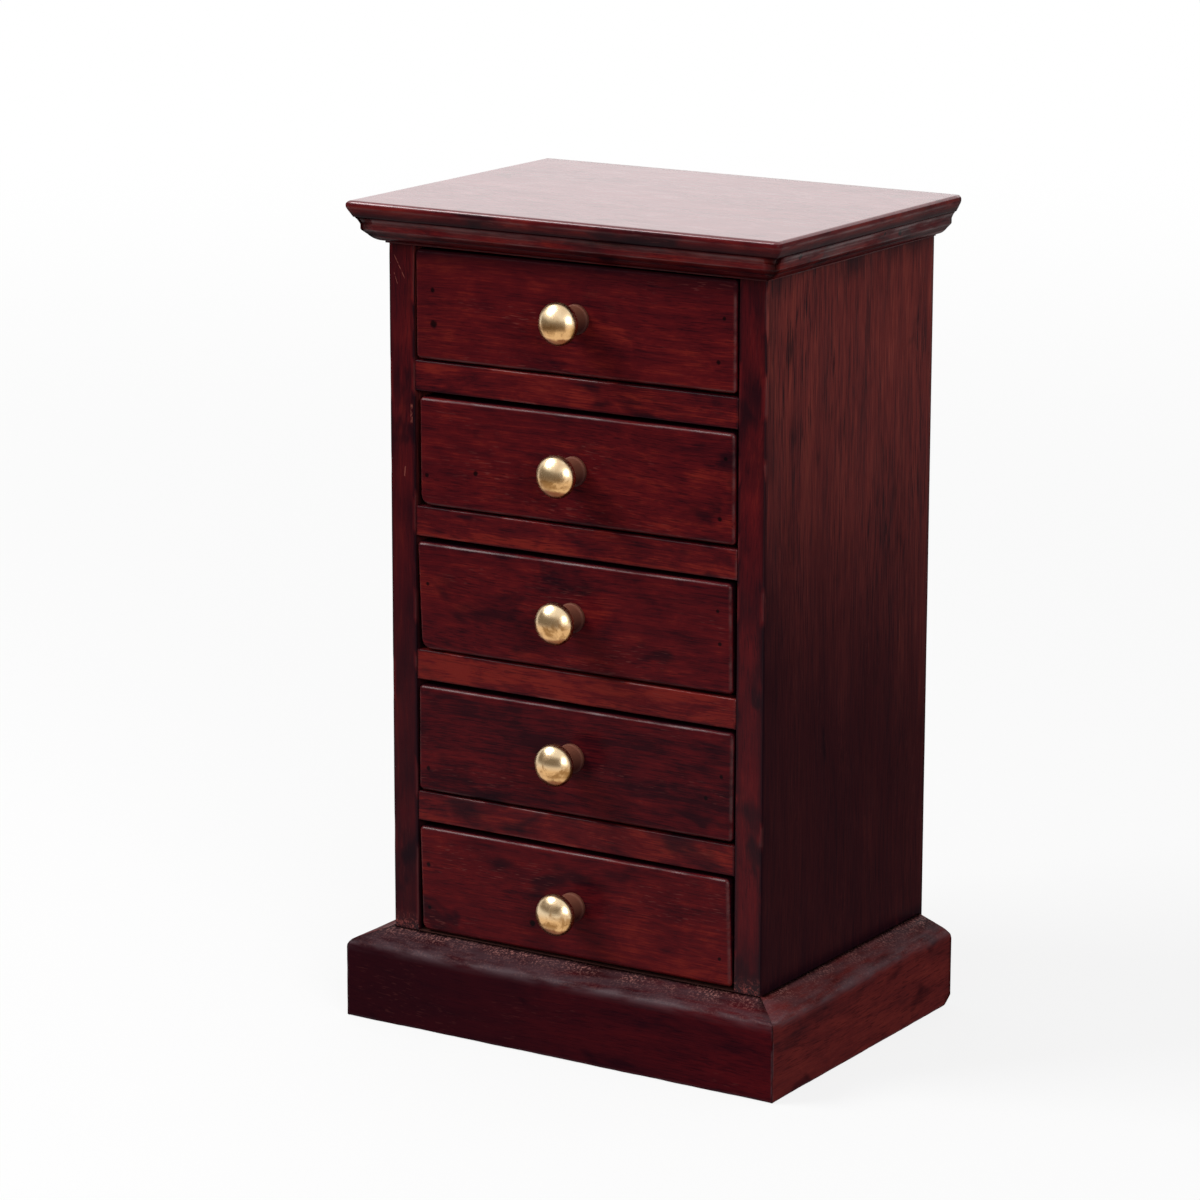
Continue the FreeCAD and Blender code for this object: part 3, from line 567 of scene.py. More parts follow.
def side_panel(hand, sign, seed):
    section = [(INNER_HALF, CASE_FRONT), (CASE_HALF, CASE_FRONT), (CASE_HALF, CASE_BACK),
               (INNER_HALF + REBATE, CASE_BACK), (INNER_HALF + REBATE, PANEL_FRONT),
               (INNER_HALF, PANEL_FRONT)]
    section = [(u * sign, v) for u, v in section]
    bm, _ = drawn_bar(section, Vector((0, 0, 0)), X, Y, Z * CASE_TOP)
    for x, radius, segments in ((CASE_HALF, OUTER_ARRIS, 4), (INNER_HALF, INNER_ARRIS, 3)):
        ease(bm, radius, lambda co: near(co.x, x * sign) and near(co.y, CASE_FRONT), segments)
    across = sorted(((INNER_HALF + 1.6 * MM) * sign, (CASE_HALF - 2.2 * MM) * sign))
    cut_across(bm, 0, *across, 3 * MM)
    cut_across(bm, 2, PLINTH_TOP - 2 * MM, CORNICE_FOOT + 2 * MM, 3 * MM)
    cut_across(bm, 1, CASE_FRONT + 2 * MM, CASE_BACK - 2 * MM, 5 * MM)
    inner, outer = sorted((INNER_HALF * sign, CASE_HALF * sign))
    # Only the front has arrises: the other limits lie beyond the panel
    on_arris = board_wear(Vector((inner, CASE_FRONT, -0.1)), Vector((outer, 0.2, 1.0)), 1.6 * MM)

    def wear_and_painted_light(co):
        """Dark stain lies in patches along the front arris. Above the plinth and below the cornice
        the darkening is painted shade where the parts meet.
        """
        patch = 0.5 + noise.noise(co * 60 + X * seed)
        edge = on_arris(co)
        if edge > 0.4 and patch > 0.62:
            return edge * 0.4
        near_front = fade(co.y - CASE_FRONT, DARK_STRIPE) * patch
        near_foot = fade(co.z - PLINTH_TOP, FOOT_STRIPE)
        near_head = fade(CORNICE_FOOT - co.z, DARK_STRIPE) * patch
        return -min(max(edge, near_front * 0.8, near_foot, near_head), 1.0)

    def shade_and_stain_depth(co):
        """Painted shade: darkest at the foot of the panel, and darker towards the front."""
        share = clamp((co.z - SHADE_BELOW) / SHADE_RUN)
        backwards = (co.y - CASE_FRONT) / (CASE_BACK - CASE_FRONT)
        return 1.06 - share * share * (3 - 2 * share) - 0.22 * backwards

    mark(bm, "wear_and_painted_light", wear_and_painted_light)
    mark(bm, "shade_and_stain_depth", shade_and_stain_depth)
    mark(bm, "grit", lambda co: min(fade(co.z - PLINTH_TOP, GRIT_HEIGHT, 1.2), 0.85))
    work_by_hand(bm, 0.05 * MM, 0.30 * MM, seed)
    face_wood = stained_wood(
        "wood_%s_side" % hand, "z", (0.31 * seed, 0.17, 0.05 * seed), BROWN_STOPS, mottled=0.25,
        streaky=0.60, cloudy=0.2, shade=DARKEST, pores=(55, 1900, 0.9), dashes=0.12, gloss=0.075)
    # The left stile takes only part of the panel's darkening, as a darker tone towards its foot
    stile_wood = stained_wood(
        "wood_%s_stile" % hand, "z", (0.2, 0.4 * seed, 0.1), tone=0.01, contrast=0.5, mottled=0.4,
        cloudy=0.6, shade=0.45 if hand == "left" else 0.0, dashes=0.1, gloss=0.15, grit=RED_GRIT,
        scratches=SCRATCHES if hand == "left" else ())
    piece = settle(bm, "%s_side_wood" % hand, face_wood, hand + "_side_panel")
    piece.data.materials.append(stile_wood)
    for polygon in piece.data.polygons:
        if polygon.normal.y < -0.7:
            polygon.material_index = 1


side_panel("left", -1, 1)
side_panel("right", 1, 2)

# %% [markdown]
# The top board slants in below its edge to meet the cornice, and its upper edge is rounded.
# It is the one board that was rubbed to a real shine, so it has a polish of its own.

# %% Top board
TOP_SLANT, TOP_EDGE, TOP_ROUND = 1.9 * MM, 2.4 * MM, 1.5 * MM
SHINE = {"specular_ior_level": 0.56, "coat_roughness": 0.14, "coat_tint": (1.0, 0.60, 0.64, 1.0)}


def top_board():
    edge_level = TOP_HIGH.z - TOP_EDGE
    left, right = TOP_LOW.x + TOP_SLANT, TOP_HIGH.x - TOP_SLANT
    front, back = TOP_LOW.y + TOP_SLANT, TOP_HIGH.y
    corners = [(left, front), (right, front), (right, back), (left, back)]
    bm, upper = drawn_bar(corners, Z * TOP_LOW.z, X, Y, Z * (edge_level - TOP_LOW.z))
    for vert in upper:
        vert.co.x += TOP_SLANT if vert.co.x > 0 else -TOP_SLANT
        if vert.co.y < 0:
            vert.co.y -= TOP_SLANT
    lid = [face for face in bm.faces if all(near(vert.co.z, edge_level) for vert in face.verts)]
    draw_out(bm, lid, Z * (TOP_HIGH.z - edge_level))
    bmesh.ops.delete(bm, geom=lid, context="FACES_ONLY")
    ease(bm, TOP_ROUND, lambda co: near(co.z, TOP_HIGH.z), 6, spare=lambda co: co.y > 0)
    for axis in (0, 1):
        cut_across(bm, axis, TOP_LOW[axis] + 2.5 * MM, TOP_HIGH[axis] - 2.5 * MM, 5 * MM)
    for drop in (1.9 * MM, 2.9 * MM, 5.2 * MM):
        cut_across(bm, 2, TOP_HIGH.z - drop, TOP_HIGH.z - drop)

    def wear_and_painted_light(co):
        """Worn round the head and along the widest line, with painted shade on the slant just above
        the cornice.
        """
        inset = min(co.x - TOP_LOW.x, TOP_HIGH.x - co.x, co.y - TOP_LOW.y)
        drop = TOP_HIGH.z - co.z
        if drop > 5.0 * MM and inset < 3 * MM:
            return -0.8
        head = fade(max(inset, drop), 1.0 * MM, 1.1)
        widest = fade(abs(drop - TOP_EDGE), 0.6 * MM)
        return min(max(head, widest), 1.0)

    mark(bm, "wear_and_painted_light", wear_and_painted_light)
    work_by_hand(bm, 0.03 * MM, 0.15 * MM, 3)
    face_wood = stained_wood("wood_top", "x", (0.4, 0.9, 0.2), tone=0.02, contrast=0.35, cloudy=0.2,
                             dashes=0.0, worn_share=0.1, gloss=0.80, polish=SHINE)
    piece = settle(bm, "top_wood", face_wood, "top_board")
    for grain in "xy":
        piece.data.materials.append(stained_wood(
            "wood_top_edge_" + grain, grain, (0.4, 0.2, 0.6), tone=0.04, cloudy=0.7,
            worn_share=0.55, worn_sheen=0.40, gloss=0.13))
    for polygon in piece.data.polygons:
        if polygon.normal.z < 0.55:
            polygon.material_index = 2 if abs(polygon.normal.x) > 0.7 else 1


top_board()

# %% [markdown]
# Cornice and plinth are mouldings: one section, drawn along three sides of the case and
# mitred at the front corners. A section is a list of points out from the case and up from
# the moulding's foot. Moving the end's vertices along the run by their own reach is the mitre.

# %% A moulding from its section


def arc(start, end, radius, turns_left, steps=6):
    """Points on the shorter arc after the start and before the end."""
    start, end = Vector(start), Vector(end)
    chord = end - start
    rise = math.sqrt(max(radius ** 2 - chord.length_squared / 4, 0.0))
    to_left = Vector((-chord.y, chord.x)).normalized()
    centre = (start + end) / 2 + to_left * (rise if turns_left else -rise)
    first = math.atan2(start.y - centre.y, start.x - centre.x)
    last = math.atan2(end.y - centre.y, end.x - centre.x)
    sweep = (last - first + math.pi) % (2 * math.pi) - math.pi
    angles = [first + sweep * step / steps for step in range(1, steps)]
    return [(centre.x + radius * math.cos(angle), centre.y + radius * math.sin(angle))
            for angle in angles]


FRONT_LEFT, FRONT_RIGHT = (Vector((side * CASE_HALF, CASE_FRONT, 0)) for side in (-1, 1))
CASE_RUN = Y * (CASE_BACK - CASE_FRONT)
# Each side: the corner it starts at, outwards, the run, and whether its far end is mitred too
RUNS = {
    "front": (FRONT_LEFT, -Y, X * 2 * CASE_HALF, True),
    "left": (FRONT_LEFT, -X, CASE_RUN, False),
    "right": (FRONT_RIGHT, X, CASE_RUN, False),
}
SIDES = (("front", "x"), ("left", "y"), ("right", "y"))
RING_STEP = 2.5 * MM


def moulding(hand, section, level, arrises, rear=None):
    """One side's moulding, and a function that finds a place out and up on its section.
    arrises are (out, up, radius) of edges to round, and rear shapes the rear end."""
    corner, outward, run, mitred_twice = RUNS[hand]
    origin = corner + Z * level
    bm, far = drawn_bar(section, origin, outward, Z, run)
    along = run.normalized()
    far = set(far)
    for vert in bm.verts:
        reach = (vert.co - origin).dot(outward)
        if vert not in far:
            vert.co -= along * reach
        elif mitred_twice:
            vert.co += along * reach

    def on_section(co):
        return (co - origin).dot(outward), co.z - level

    for *arris, radius in arrises:
        ease(bm, radius, lambda co: all(map(near, on_section(co), arris)), 4)
    if rear:
        rear(bm)
    axis = 0 if hand == "front" else 1
    start = min(corner[axis], (corner + run)[axis])
    cut_across(bm, axis, start, start + run.length, RING_STEP)
    return bm, on_section


print("mouldings run along", ", ".join(RUNS))

# %% [markdown]
# The cornice: a cove under the top board, an upright fillet, a small slanted break, a round
# that turns under, and a thin foot against the case. Light catches on each of its edges.

# %% The cornice's section
CORNICE_REACH = 8.6 * MM
FILLET_REACH = CORNICE_REACH - 1.5 * MM
BREAK_REACH = FILLET_REACH - 1.9 * MM
SOFFIT_REACH = BREAK_REACH - 3.8 * MM
FOOT_REACH = 0.7 * MM
FOOT_HEAD = 0.8 * MM
ROUND_HEAD = FOOT_HEAD + 2.5 * MM
FILLET_FOOT = ROUND_HEAD + 1.8 * MM
FILLET_HEAD = FILLET_FOOT + 2.0 * MM
CORNICE_HEAD = FILLET_HEAD + 2.6 * MM
ROUND_RADIUS, COVE_RADIUS = 6.0 * MM, 12.0 * MM
soffit, break_foot = (SOFFIT_REACH, FOOT_HEAD), (BREAK_REACH, ROUND_HEAD)
fillet_foot, fillet_head = (FILLET_REACH, FILLET_FOOT), (FILLET_REACH, FILLET_HEAD)
cove_head = (CORNICE_REACH, CORNICE_HEAD)
cove_middle = ((FILLET_REACH + CORNICE_REACH) / 2, (FILLET_HEAD + CORNICE_HEAD) / 2)
round_middle = (BREAK_REACH - 0.7 * MM, ROUND_HEAD - 1.2 * MM)
CORNICE_SECTION = [
    (0, 0), (FOOT_REACH, 0), (FOOT_REACH, FOOT_HEAD), soffit,
    *arc(soffit, break_foot, ROUND_RADIUS, True), break_foot, fillet_foot, fillet_head,
    *arc(fillet_head, cove_head, COVE_RADIUS, False), cove_head, (0, CORNICE_HEAD),
]
CORNICE_ARRISES = [
    (FOOT_REACH, 0, 0.2 * MM), (*fillet_foot, 0.35 * MM), (*fillet_head, 0.35 * MM),
    (*break_foot, 0.25 * MM),
]
# Lines on the section: above 0 the fillet's arrises and the foot are worn, and the middles of the
# cove and the round carry painted highlights; below 0 painted shade lies in the creases. Each:
# place, strength and reach
CORNICE_LINES = [
    (fillet_foot, 0.8, 0.6 * MM), (fillet_head, 0.8, 0.6 * MM), (cove_middle, 0.9, 1.2 * MM),
    (break_foot, -0.8, 0.7 * MM), (round_middle, 1.0, 0.6 * MM), ((FOOT_REACH, 0), 0.6, 0.5 * MM),
    ((FOOT_REACH, FOOT_HEAD), -1.0, 0.9 * MM), (cove_head, -1.0, 0.6 * MM),
]
CORNICE_SPOTS = {
    "right": ((-41.5, 297.0, 1.1), (29.6, 296.0, 1.3), (18.0, 297.2, 0.8), (-6.0, 293.2, 0.8)),
}
print("cornice: %d points, %.1f mm high" % (len(CORNICE_SECTION), CORNICE_HEAD / MM))

# %% Cornice


def light_and_wear_lines(on_section):
    """The strongest of the cornice's lines at a place."""
    def rule(co):
        place = Vector(on_section(co))
        pulls = [strength * fade((place - Vector(middle)).length, reach)
                 for middle, strength, reach in CORNICE_LINES]
        return max(pulls, key=abs)
    return rule


for seed, (hand, grain) in enumerate(SIDES, start=4):
    bm, on_section = moulding(hand, CORNICE_SECTION, CORNICE_FOOT, CORNICE_ARRISES)
    mark(bm, "wear_and_painted_light", light_and_wear_lines(on_section))
    work_by_hand(bm, 0.05 * MM, 0.15 * MM, seed)
    wood = stained_wood(
        "wood_cornice_" + hand, grain, (0.07 * seed, 0.23 * seed, 0.4), tone=0.02, cloudy=0.7,
        worn_share=0.6, worn_sheen=0.5, gloss=0.11, spots=CORNICE_SPOTS.get(hand, ()),
        spots_along="y")
    settle(bm, "cornice_%s_wood" % hand, wood, "cornice_" + hand)

# %% [markdown]
# The plinth is taller and plainer. Years of handling have rubbed its upper edge, and the grey
# band there and over the sloping top is that rubbing and a painted sheen. Where its sloping top
# meets the case there is a crumbly line of glue and stain, so its vertices also carry "grit".
# The front is darker towards its left end.

# %% The plinth's shape
PLINTH_REACH = 12.8 * MM
PLINTH_SHOULDER = 29.3 * MM
PLINTH_ROUND = 2.5 * MM
PLINTH_SECTION = [(0, 0), (PLINTH_REACH, 0), (PLINTH_REACH, PLINTH_SHOULDER), (0, PLINTH_TOP)]
PLINTH_ARRISES = [(PLINTH_REACH, PLINTH_SHOULDER, PLINTH_ROUND), (PLINTH_REACH, 0, 0.6 * MM)]
MITRE_STRIP = 1.0 * MM
# A lavender grey for the plinth's upper edge and slope: rubbing and a painted sheen
RUBBED_GREY_AND_SHEEN = (0.096, 0.060, 0.070)
# Facets of the right plinth's rear end: the distance from the back, the height, the normal
REAR_FACETS = (
    (5.0, 0.0, (0, 3.5, -5.0)), (2.2, 1.2, (0, 2.4, -5.0)),
    (2.6, 29.3, (0.4, 1.0, 1.0)), (1.4, 29.3, (0.8, 1.6, 0.6)),
)


def worn_rear_end(bm):
    """The right plinth's rear end is knocked off at the foot and rounded at the shoulder."""
    rear_corner = Vector((CASE_HALF + PLINTH_REACH, CASE_BACK, 0))
    for inset, level, normal in REAR_FACETS:
        place = rear_corner + Vector((0, -inset, level)) * MM
        cut = slice_at(bm, place, Vector(normal).normalized(), clear_outer=True)
        bmesh.ops.contextual_create(bm, geom=of_kind(cut["geom_cut"], bmesh.types.BMEdge))


def plinth_rings(bm, hand):
    """Rings of vertices up the face, beside each mitre and along the slope."""
    cut_across(bm, 2, 1.4 * MM, PLINTH_SHOULDER - 4 * MM, 3.5 * MM)
    if hand == "front":
        tip = CASE_HALF + PLINTH_REACH - MITRE_STRIP
        axis, places = 0, (-tip, tip)
    else:
        axis, places = 1, (CASE_FRONT - PLINTH_REACH + MITRE_STRIP,)
    for place in places:
        cut_across(bm, axis, place, place)
    corner, outward, _, _ = RUNS[hand]
    for share in (0.2, 0.4, 0.6, 0.8):
        slice_at(bm, corner + outward * (PLINTH_REACH - 2.6 * MM) * share, outward)


def plinth_wear_and_sheen(on_section):
    def rule(co):
        out, up = on_section(co)
        # The whole sloping top is at least half rubbed grey: rubbing and a painted sheen
        if up > PLINTH_SHOULDER:
            return max(1.0 - (PLINTH_REACH - out) / (7.0 * MM), 0.5)
        to_mitre = max(CASE_HALF + PLINTH_REACH - abs(co.x), co.y - CASE_FRONT + PLINTH_REACH)
        return max(fade(PLINTH_SHOULDER - up, 3.0 * MM), fade(up, 1.0 * MM),
                   fade(to_mitre, MITRE_STRIP, 0.9))
    return rule


def plinth_grit(on_section, seed):
    def rule(co):
        out, up = on_section(co)
        if up < PLINTH_SHOULDER - 1 * MM:
            return 0.0
        patch = 0.75 + 0.9 * noise.noise(co * 90 + Vector((seed, 0, 0)))
        return clamp((1 - out / (8.5 * MM)) * 1.2 * patch, 0.12)
    return rule


print("plinth: %.1f mm high at the case" % (PLINTH_TOP / MM))

# %% Plinth
for seed, (hand, grain) in enumerate(SIDES, start=8):
    in_front = hand == "front"
    rear = worn_rear_end if hand == "right" else None
    bm, on_section = moulding(hand, PLINTH_SECTION, 0, PLINTH_ARRISES, rear)
    plinth_rings(bm, hand)
    mark(bm, "wear_and_painted_light", plinth_wear_and_sheen(on_section))
    mark(bm, "grit", plinth_grit(on_section, seed))
    mark(bm, "shade_and_stain_depth", lambda co: clamp(1.0 - (co.x + CASE_HALF) / (190 * MM)) if in_front else 0.0)
    work_by_hand(bm, 0.08 * MM, 0.30 * MM, seed)
    wood = stained_wood(
        "wood_plinth_" + hand, grain, (0.11 * seed, 0.37, 0.19 * seed),
        RED_STOPS if in_front else BROWN_STOPS, tone=-0.04, mottled=0.4, streaky=0.2, cloudy=0.38,
        shade=DARKEST, dashes=0.12, wear_colour=RUBBED_GREY_AND_SHEEN, worn_share=0.9, worn_sheen=0.16,
        gloss=0.015, grit=PALE_GRIT, polish={**SATIN, "coat_roughness": 0.42})
    settle(bm, "plinth_%s_wood" % hand, wood, "plinth_" + hand)

# %% [markdown]
# Between the drawers lie four rails, flush with the stiles. Their long edges are barely eased
# and a little rough, and a hair of shadow shows where they butt against the stiles.

# %% Divider rails
RAIL_TONES = (0.01, 0.05, 0.09, 0.05)
RAIL_ARRIS = 0.55 * MM
for number, tone in enumerate(RAIL_TONES, start=1):
    node = "divider_rail_%d" % number
    low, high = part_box(node)
    low.x, high.x = -INNER_HALF, INNER_HALF
    bm = block(low, high)
    ease(bm, RAIL_ARRIS, lambda co: near(co.y, CASE_FRONT))
    cut_across(bm, 0, low.x + 1.2 * MM, high.x - 1.2 * MM, 2.5 * MM)
    cut_across(bm, 2, low.z + 1.2 * MM, high.z - 1.2 * MM, 3 * MM)
    on_arris = board_wear(low, high, 0.9 * MM)
    rubbed = lambda co: 0.8 if noise.noise(co * 45 + X * number) > 0.18 else -1.0
    mark(bm, "wear_and_painted_light", lambda co: on_arris(co) * rubbed(co))
    work_by_hand(bm, 0.06 * MM, 0.22 * MM, 20 + number)
    wood = stained_wood("wood_rail_%d" % number, "x", (0.21 * number, 0.5, 0.33 * number),
                        tone=tone, contrast=0.9, cloudy=0.6, dashes=0.15, gloss=0.12)
    settle(bm, "rail_%d_wood" % number, wood, node)

# %% [markdown]
# The five drawer fronts were fitted by hand, so no two gaps are alike and one lower corner
# of each is rounded off. Each is drawn as a face with four corners, made a solid, rounded at
# its corners and then eased all round. Dark dots near the ends are filled nail holes.

# %% How each front was fitted
# Gaps left and right, each at the top and the foot, then the lower left corner's radius, in mm
FITTING = {
    1: (0.8, 0.9, 0.9, 0.8, 2.0),
    2: (2.1, 2.3, 1.0, 0.8, 4.0),
    3: (0.7, 2.2, 2.0, 1.4, 4.0),
    4: (0.9, 0.7, 0.7, 0.9, 2.0),
    5: (0.7, 1.8, 2.1, 0.8, 3.0),
}
FOOT_LEFT_GAP, FOOT_RIGHT_GAP = 0.5 * MM, 1.1 * MM
HEAD_RIGHT_GAP, HEAD_LEFT_GAP = 1.3 * MM, 1.9 * MM
CORNER_RADIUS, FRONT_ARRIS = 1.7 * MM, 1.4 * MM
SPOTS = {
    1: ((-58.9, 273.9, 1.1), (-58.6, 261.6, 1.7), (59.8, 259.5, 1.0), (62.0, 275.0, 0.8)),
    2: ((-62.0, 206.2, 1.0), (-40.9, 209.1, 1.1), (63.0, 226.0, 0.9), (60.7, 204.5, 1.0)),
    3: ((61.1, 159.9, 0.9), (60.2, 171.6, 0.8), (-62.0, 166.0, 0.8)),
    4: ((-62.3, 96.7, 1.0), (62.2, 112.0, 0.9), (55.9, 103.3, 0.9)),
    5: ((-62.5, 59.9, 1.0), (62.0, 45.0, 0.8), (-62.2, 43.5, 0.9), (-17.0, 45.0, 1.4)),
}
FRONT_TONES = {1: 0.02, 2: 0.01, 3: 0.0, 4: -0.08, 5: 0.0}
print("filled holes on each front:", [len(SPOTS[number]) for number in DRAWERS])

# %% Drawer fronts


def front_wear_and_shade(number, corners):
    """Worn round the face's edge, with painted shade on the edges that the gaps hide and on the top
    drawer's top arris under the cornice.
    """
    floor = floor_level(number)
    sides = []
    for (u, v), (next_u, next_v) in zip(corners, corners[1:] + corners[:1]):
        side = Vector((next_u - u, next_v - v)).normalized()
        sides.append((Vector((u, floor + v)), Vector((-side.y, side.x))))

    def rule(co):
        inset = min((Vector((co.x, co.z)) - start).dot(inward) for start, inward in sides)
        back = co.y - FRONT_FACE
        # Painted shade on the edges inside the gaps, lighter further back
        if back > 5 * MM:
            return -0.35
        if back > 1.2 * MM:
            return -1.0
        # Painted shadow of the cornice on the top drawer's top arris
        under_cornice = number == 1 and near(co.z, floor + OPENING_HEIGHT - HEAD_LEFT_GAP, 2.5 * MM)
        return min(fade(max(inset, back), 1.25 * MM, 1.1), 1.0) * (-0.7 if under_cornice else 1)
    return rule


def front_shade_and_stain(number):
    """The top drawer's front is darker below the cornice, a painted shadow of the cornice, and at
    its left end.
    """
    def rule(co):
        drop = floor_level(number) + OPENING_HEIGHT - co.z
        return max(0.9 - drop / (13 * MM), 0.4 - (co.x + INNER_HALF) / (90 * MM), 0.0)
    return rule if number == 1 else lambda co: 0.0


def drawer_front(number):
    left_top, left_foot, right_top, right_foot, radius = [size * MM for size in FITTING[number]]
    floor = floor_level(number)
    corners = [
        (left_foot - INNER_HALF, FOOT_LEFT_GAP), (INNER_HALF - right_foot, FOOT_RIGHT_GAP),
        (INNER_HALF - right_top, OPENING_HEIGHT - HEAD_RIGHT_GAP),
        (left_top - INNER_HALF, OPENING_HEIGHT - HEAD_LEFT_GAP),
    ]
    bm, _ = drawn_bar(corners, Vector((0, FRONT_FACE, floor)), X, Z, Y * FRONT_THICKNESS)
    for (u, v), size in zip(corners, (radius, CORNER_RADIUS, CORNER_RADIUS, CORNER_RADIUS)):
        ease(bm, size, lambda co: near(co.x, u) and near(co.z, floor + v), 5)
    ease(bm, FRONT_ARRIS, lambda co: near(co.y, FRONT_FACE), 5)
    cut_across(bm, 0, -INNER_HALF + 5 * MM, INNER_HALF - 5 * MM, 3 * MM)
    cut_across(bm, 2, floor + 4 * MM, floor + OPENING_HEIGHT - 4 * MM, 3 * MM)
    mark(bm, "wear_and_painted_light", front_wear_and_shade(number, corners))
    mark(bm, "shade_and_stain_depth", front_shade_and_stain(number))
    work_by_hand(bm, 0.10 * MM, 0.30 * MM, 30 + number)
    wood = stained_wood("wood_front_%d" % number, "x", (0.13 * number, 0.7, 0.29 * number),
                        tone=FRONT_TONES[number], cloudy=0.45, shade=DARKEST, gloss=0.08,
                        spots=SPOTS[number])
    drawer = "drawer_%d" % number
    settle(bm, drawer + "_front_wood", wood, drawer + "_front", drawer)


for number in DRAWERS:
    drawer_front(number)

# %% [markdown]
# The knobs are turned brass. Half a section spun about its axis is a knob, as on a lathe.
# Each vertex keeps its distance along the section, and the tool marks follow that number.

# %% The knob's section
# Points are (radius, distance from the drawer's face), in mm
RIM, RIM_START = 3.0, math.radians(60)
HEAD, DOME, PROJECTION = 7.75, 5.0, 16.7
rim_centre = (HEAD - RIM, PROJECTION - DOME)
dome_radius = (rim_centre[0] ** 2 + DOME ** 2 - RIM ** 2) / (2 * (DOME - RIM))
reach = dome_radius / (dome_radius - RIM)
dome_middle = PROJECTION - dome_radius
cone_end = (rim_centre[0] + RIM * math.cos(RIM_START), rim_centre[1] - RIM * math.sin(RIM_START))
dome_start = (rim_centre[0] * reach, dome_middle + (rim_centre[1] - dome_middle) * reach)
neck, flare_start = (4.3, 7.6), (5.0, 1.2)
narrowing = flare_start[0] - neck[0]
flare_radius = ((neck[1] - flare_start[1]) ** 2 + narrowing ** 2) / (2 * narrowing)
FOOT_AND_NECK = [
    (0, 0), (5.1, 0), (5.4, 0.12), (5.4, 1.05), (5.28, 1.2), flare_start,
    *arc(flare_start, neck, flare_radius, False, 10), neck,
]
KNOB_SECTION = FOOT_AND_NECK + [
    cone_end, *arc(cone_end, dome_start, RIM, True, 14), dome_start,
    *arc(dome_start, (0, PROJECTION), dome_radius, True, 14), (0, PROJECTION),
]
STEPS = zip(FOOT_AND_NECK, FOOT_AND_NECK[1:])
NECK_RUN = sum((Vector(end) - Vector(start)).length for start, end in STEPS) * MM
print("knob: %.1f mm along the section to the end of the neck" % (NECK_RUN / MM))

# %% [markdown]
# The head is bright from use, with patches of tarnish. Its lower half is painted warmer, amber
# tarnish gathers low down and the underside is copper: a painted reflection of the red wood.
# Foot and neck, which fingers don't reach, are dull, and painted tan above and dark red below:
# painted reflection and painted shade.

# %% Polished brass
PALE_BRASS, WARM_REFLECTION_BRASS = (0.80, 0.61, 0.38), (0.74, 0.43, 0.185)
BLOOM, AMBER, COPPER_REFLECTION = (0.46, 0.26, 0.11), (0.30, 0.135, 0.035), (0.21, 0.062, 0.024)
SHADED_DUST, LIT_DUST = (0.040, 0.008, 0.007), (0.165, 0.056, 0.034)


def polished_brass():
    """height is -1 at the head's lowest point and 1 at its highest."""
    finish = Finish("polished_brass", specular_ior_level=0.15)
    turned, height = finish.attribute("turned"), finish.attribute("height")
    rings = finish.cloud(finish.node("CombineXYZ", {}, {0: turned}), (5200, 0, 0), 2, 0.6)
    tarnish = finish.cloud(finish.shifted(), 190, 4, 0.65, 0.5)
    bloom = tarnish.rise(0.44, 0.62)
    # Painted reflection of the red wood below: a warmer lower half, amber lower down, a copper
    # underside
    lower_reflection = (0 - height).rise(-0.25, 0.20)
    under = (0 - height + (tarnish - 0.5) * 0.35).rise(0.50, 0.68)
    amber = ((tarnish - 0.5) * 2.6 - height * 0.7).rise(-0.1, 0.5) * (0 - height).rise(0.58, 0.36)
    dull = 1 - turned.rise(NECK_RUN, NECK_RUN + 1.2 * MM)
    # Foot and neck are painted dark red below and tan above: painted reflection and painted shade
    dust_and_shade = finish.blend(SHADED_DUST, LIT_DUST, height.rise(-0.45, 0.60))
    colour = finish.blend(PALE_BRASS, WARM_REFLECTION_BRASS, lower_reflection)
    for laid_over, share in ((BLOOM, bloom * (0.35 + lower_reflection * 0.55)), (AMBER, amber * 0.75),
                             (COPPER_REFLECTION, under * 0.92), (dust_and_shade, dull)):
        colour = finish.blend(colour, laid_over, share)
    finish.drive(base_color=colour, metallic=1 - dull,
                 roughness=0.20 + bloom * 0.10 + rings * 0.06 + dull * 0.34)
    finish.bump(rings * 0.6 + tarnish * 0.4, 0.02 * MM, 0.5)
    return finish.material


BRASS = polished_brass()
print("brass has", len(BRASS.node_tree.nodes), "nodes")

# %% Knobs


def spin(bm, section, axis, steps):
    """Turns a line of vertices about an axis through the origin."""
    edges = [bm.edges.new(pair) for pair in zip(section, section[1:])]
    bmesh.ops.spin(bm, geom=section + edges, cent=(0, 0, 0), axis=axis, angle=2 * math.pi,
                   steps=steps, use_merge=True)


def knob(number):
    bm = bmesh.new()
    layer = bm.verts.layers.float.new("turned")
    line, length, last = [], 0.0, None
    for radius, out in KNOB_SECTION:
        place = Vector((radius * MM, -out * MM, 0))
        length += (place - last).length if last else 0.0
        vert = bm.verts.new(place)
        vert[layer] = length
        line.append(vert)
        last = place
    spin(bm, line, Y, 72)
    mark(bm, "height", lambda co: co.z / (HEAD * MM))
    drawer = "drawer_%d" % number
    low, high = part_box(drawer + "_knob")
    middle = (low + high) / 2
    # The foot sits a hair into the front, because the front's face is worn down unevenly
    seat = Vector((middle.x, FRONT_FACE + 0.08 * MM, middle.z))
    bmesh.ops.translate(bm, vec=seat, verts=bm.verts)
    for vert in bm.verts:
        vert.co.y = max(vert.co.y, CAD_BOX[0][1])
    settle(bm, drawer + "_knob_turned", BRASS, drawer + "_knob", drawer)


for number in DRAWERS:
    knob(number)

# %% [markdown]
# The panel pins that hold mouldings and drawers are punched in below the surface and their
# holes are filled, so they never show as metal. Each solid pin gives the place of its dressed
# one, which has a small head, a shank and a point.

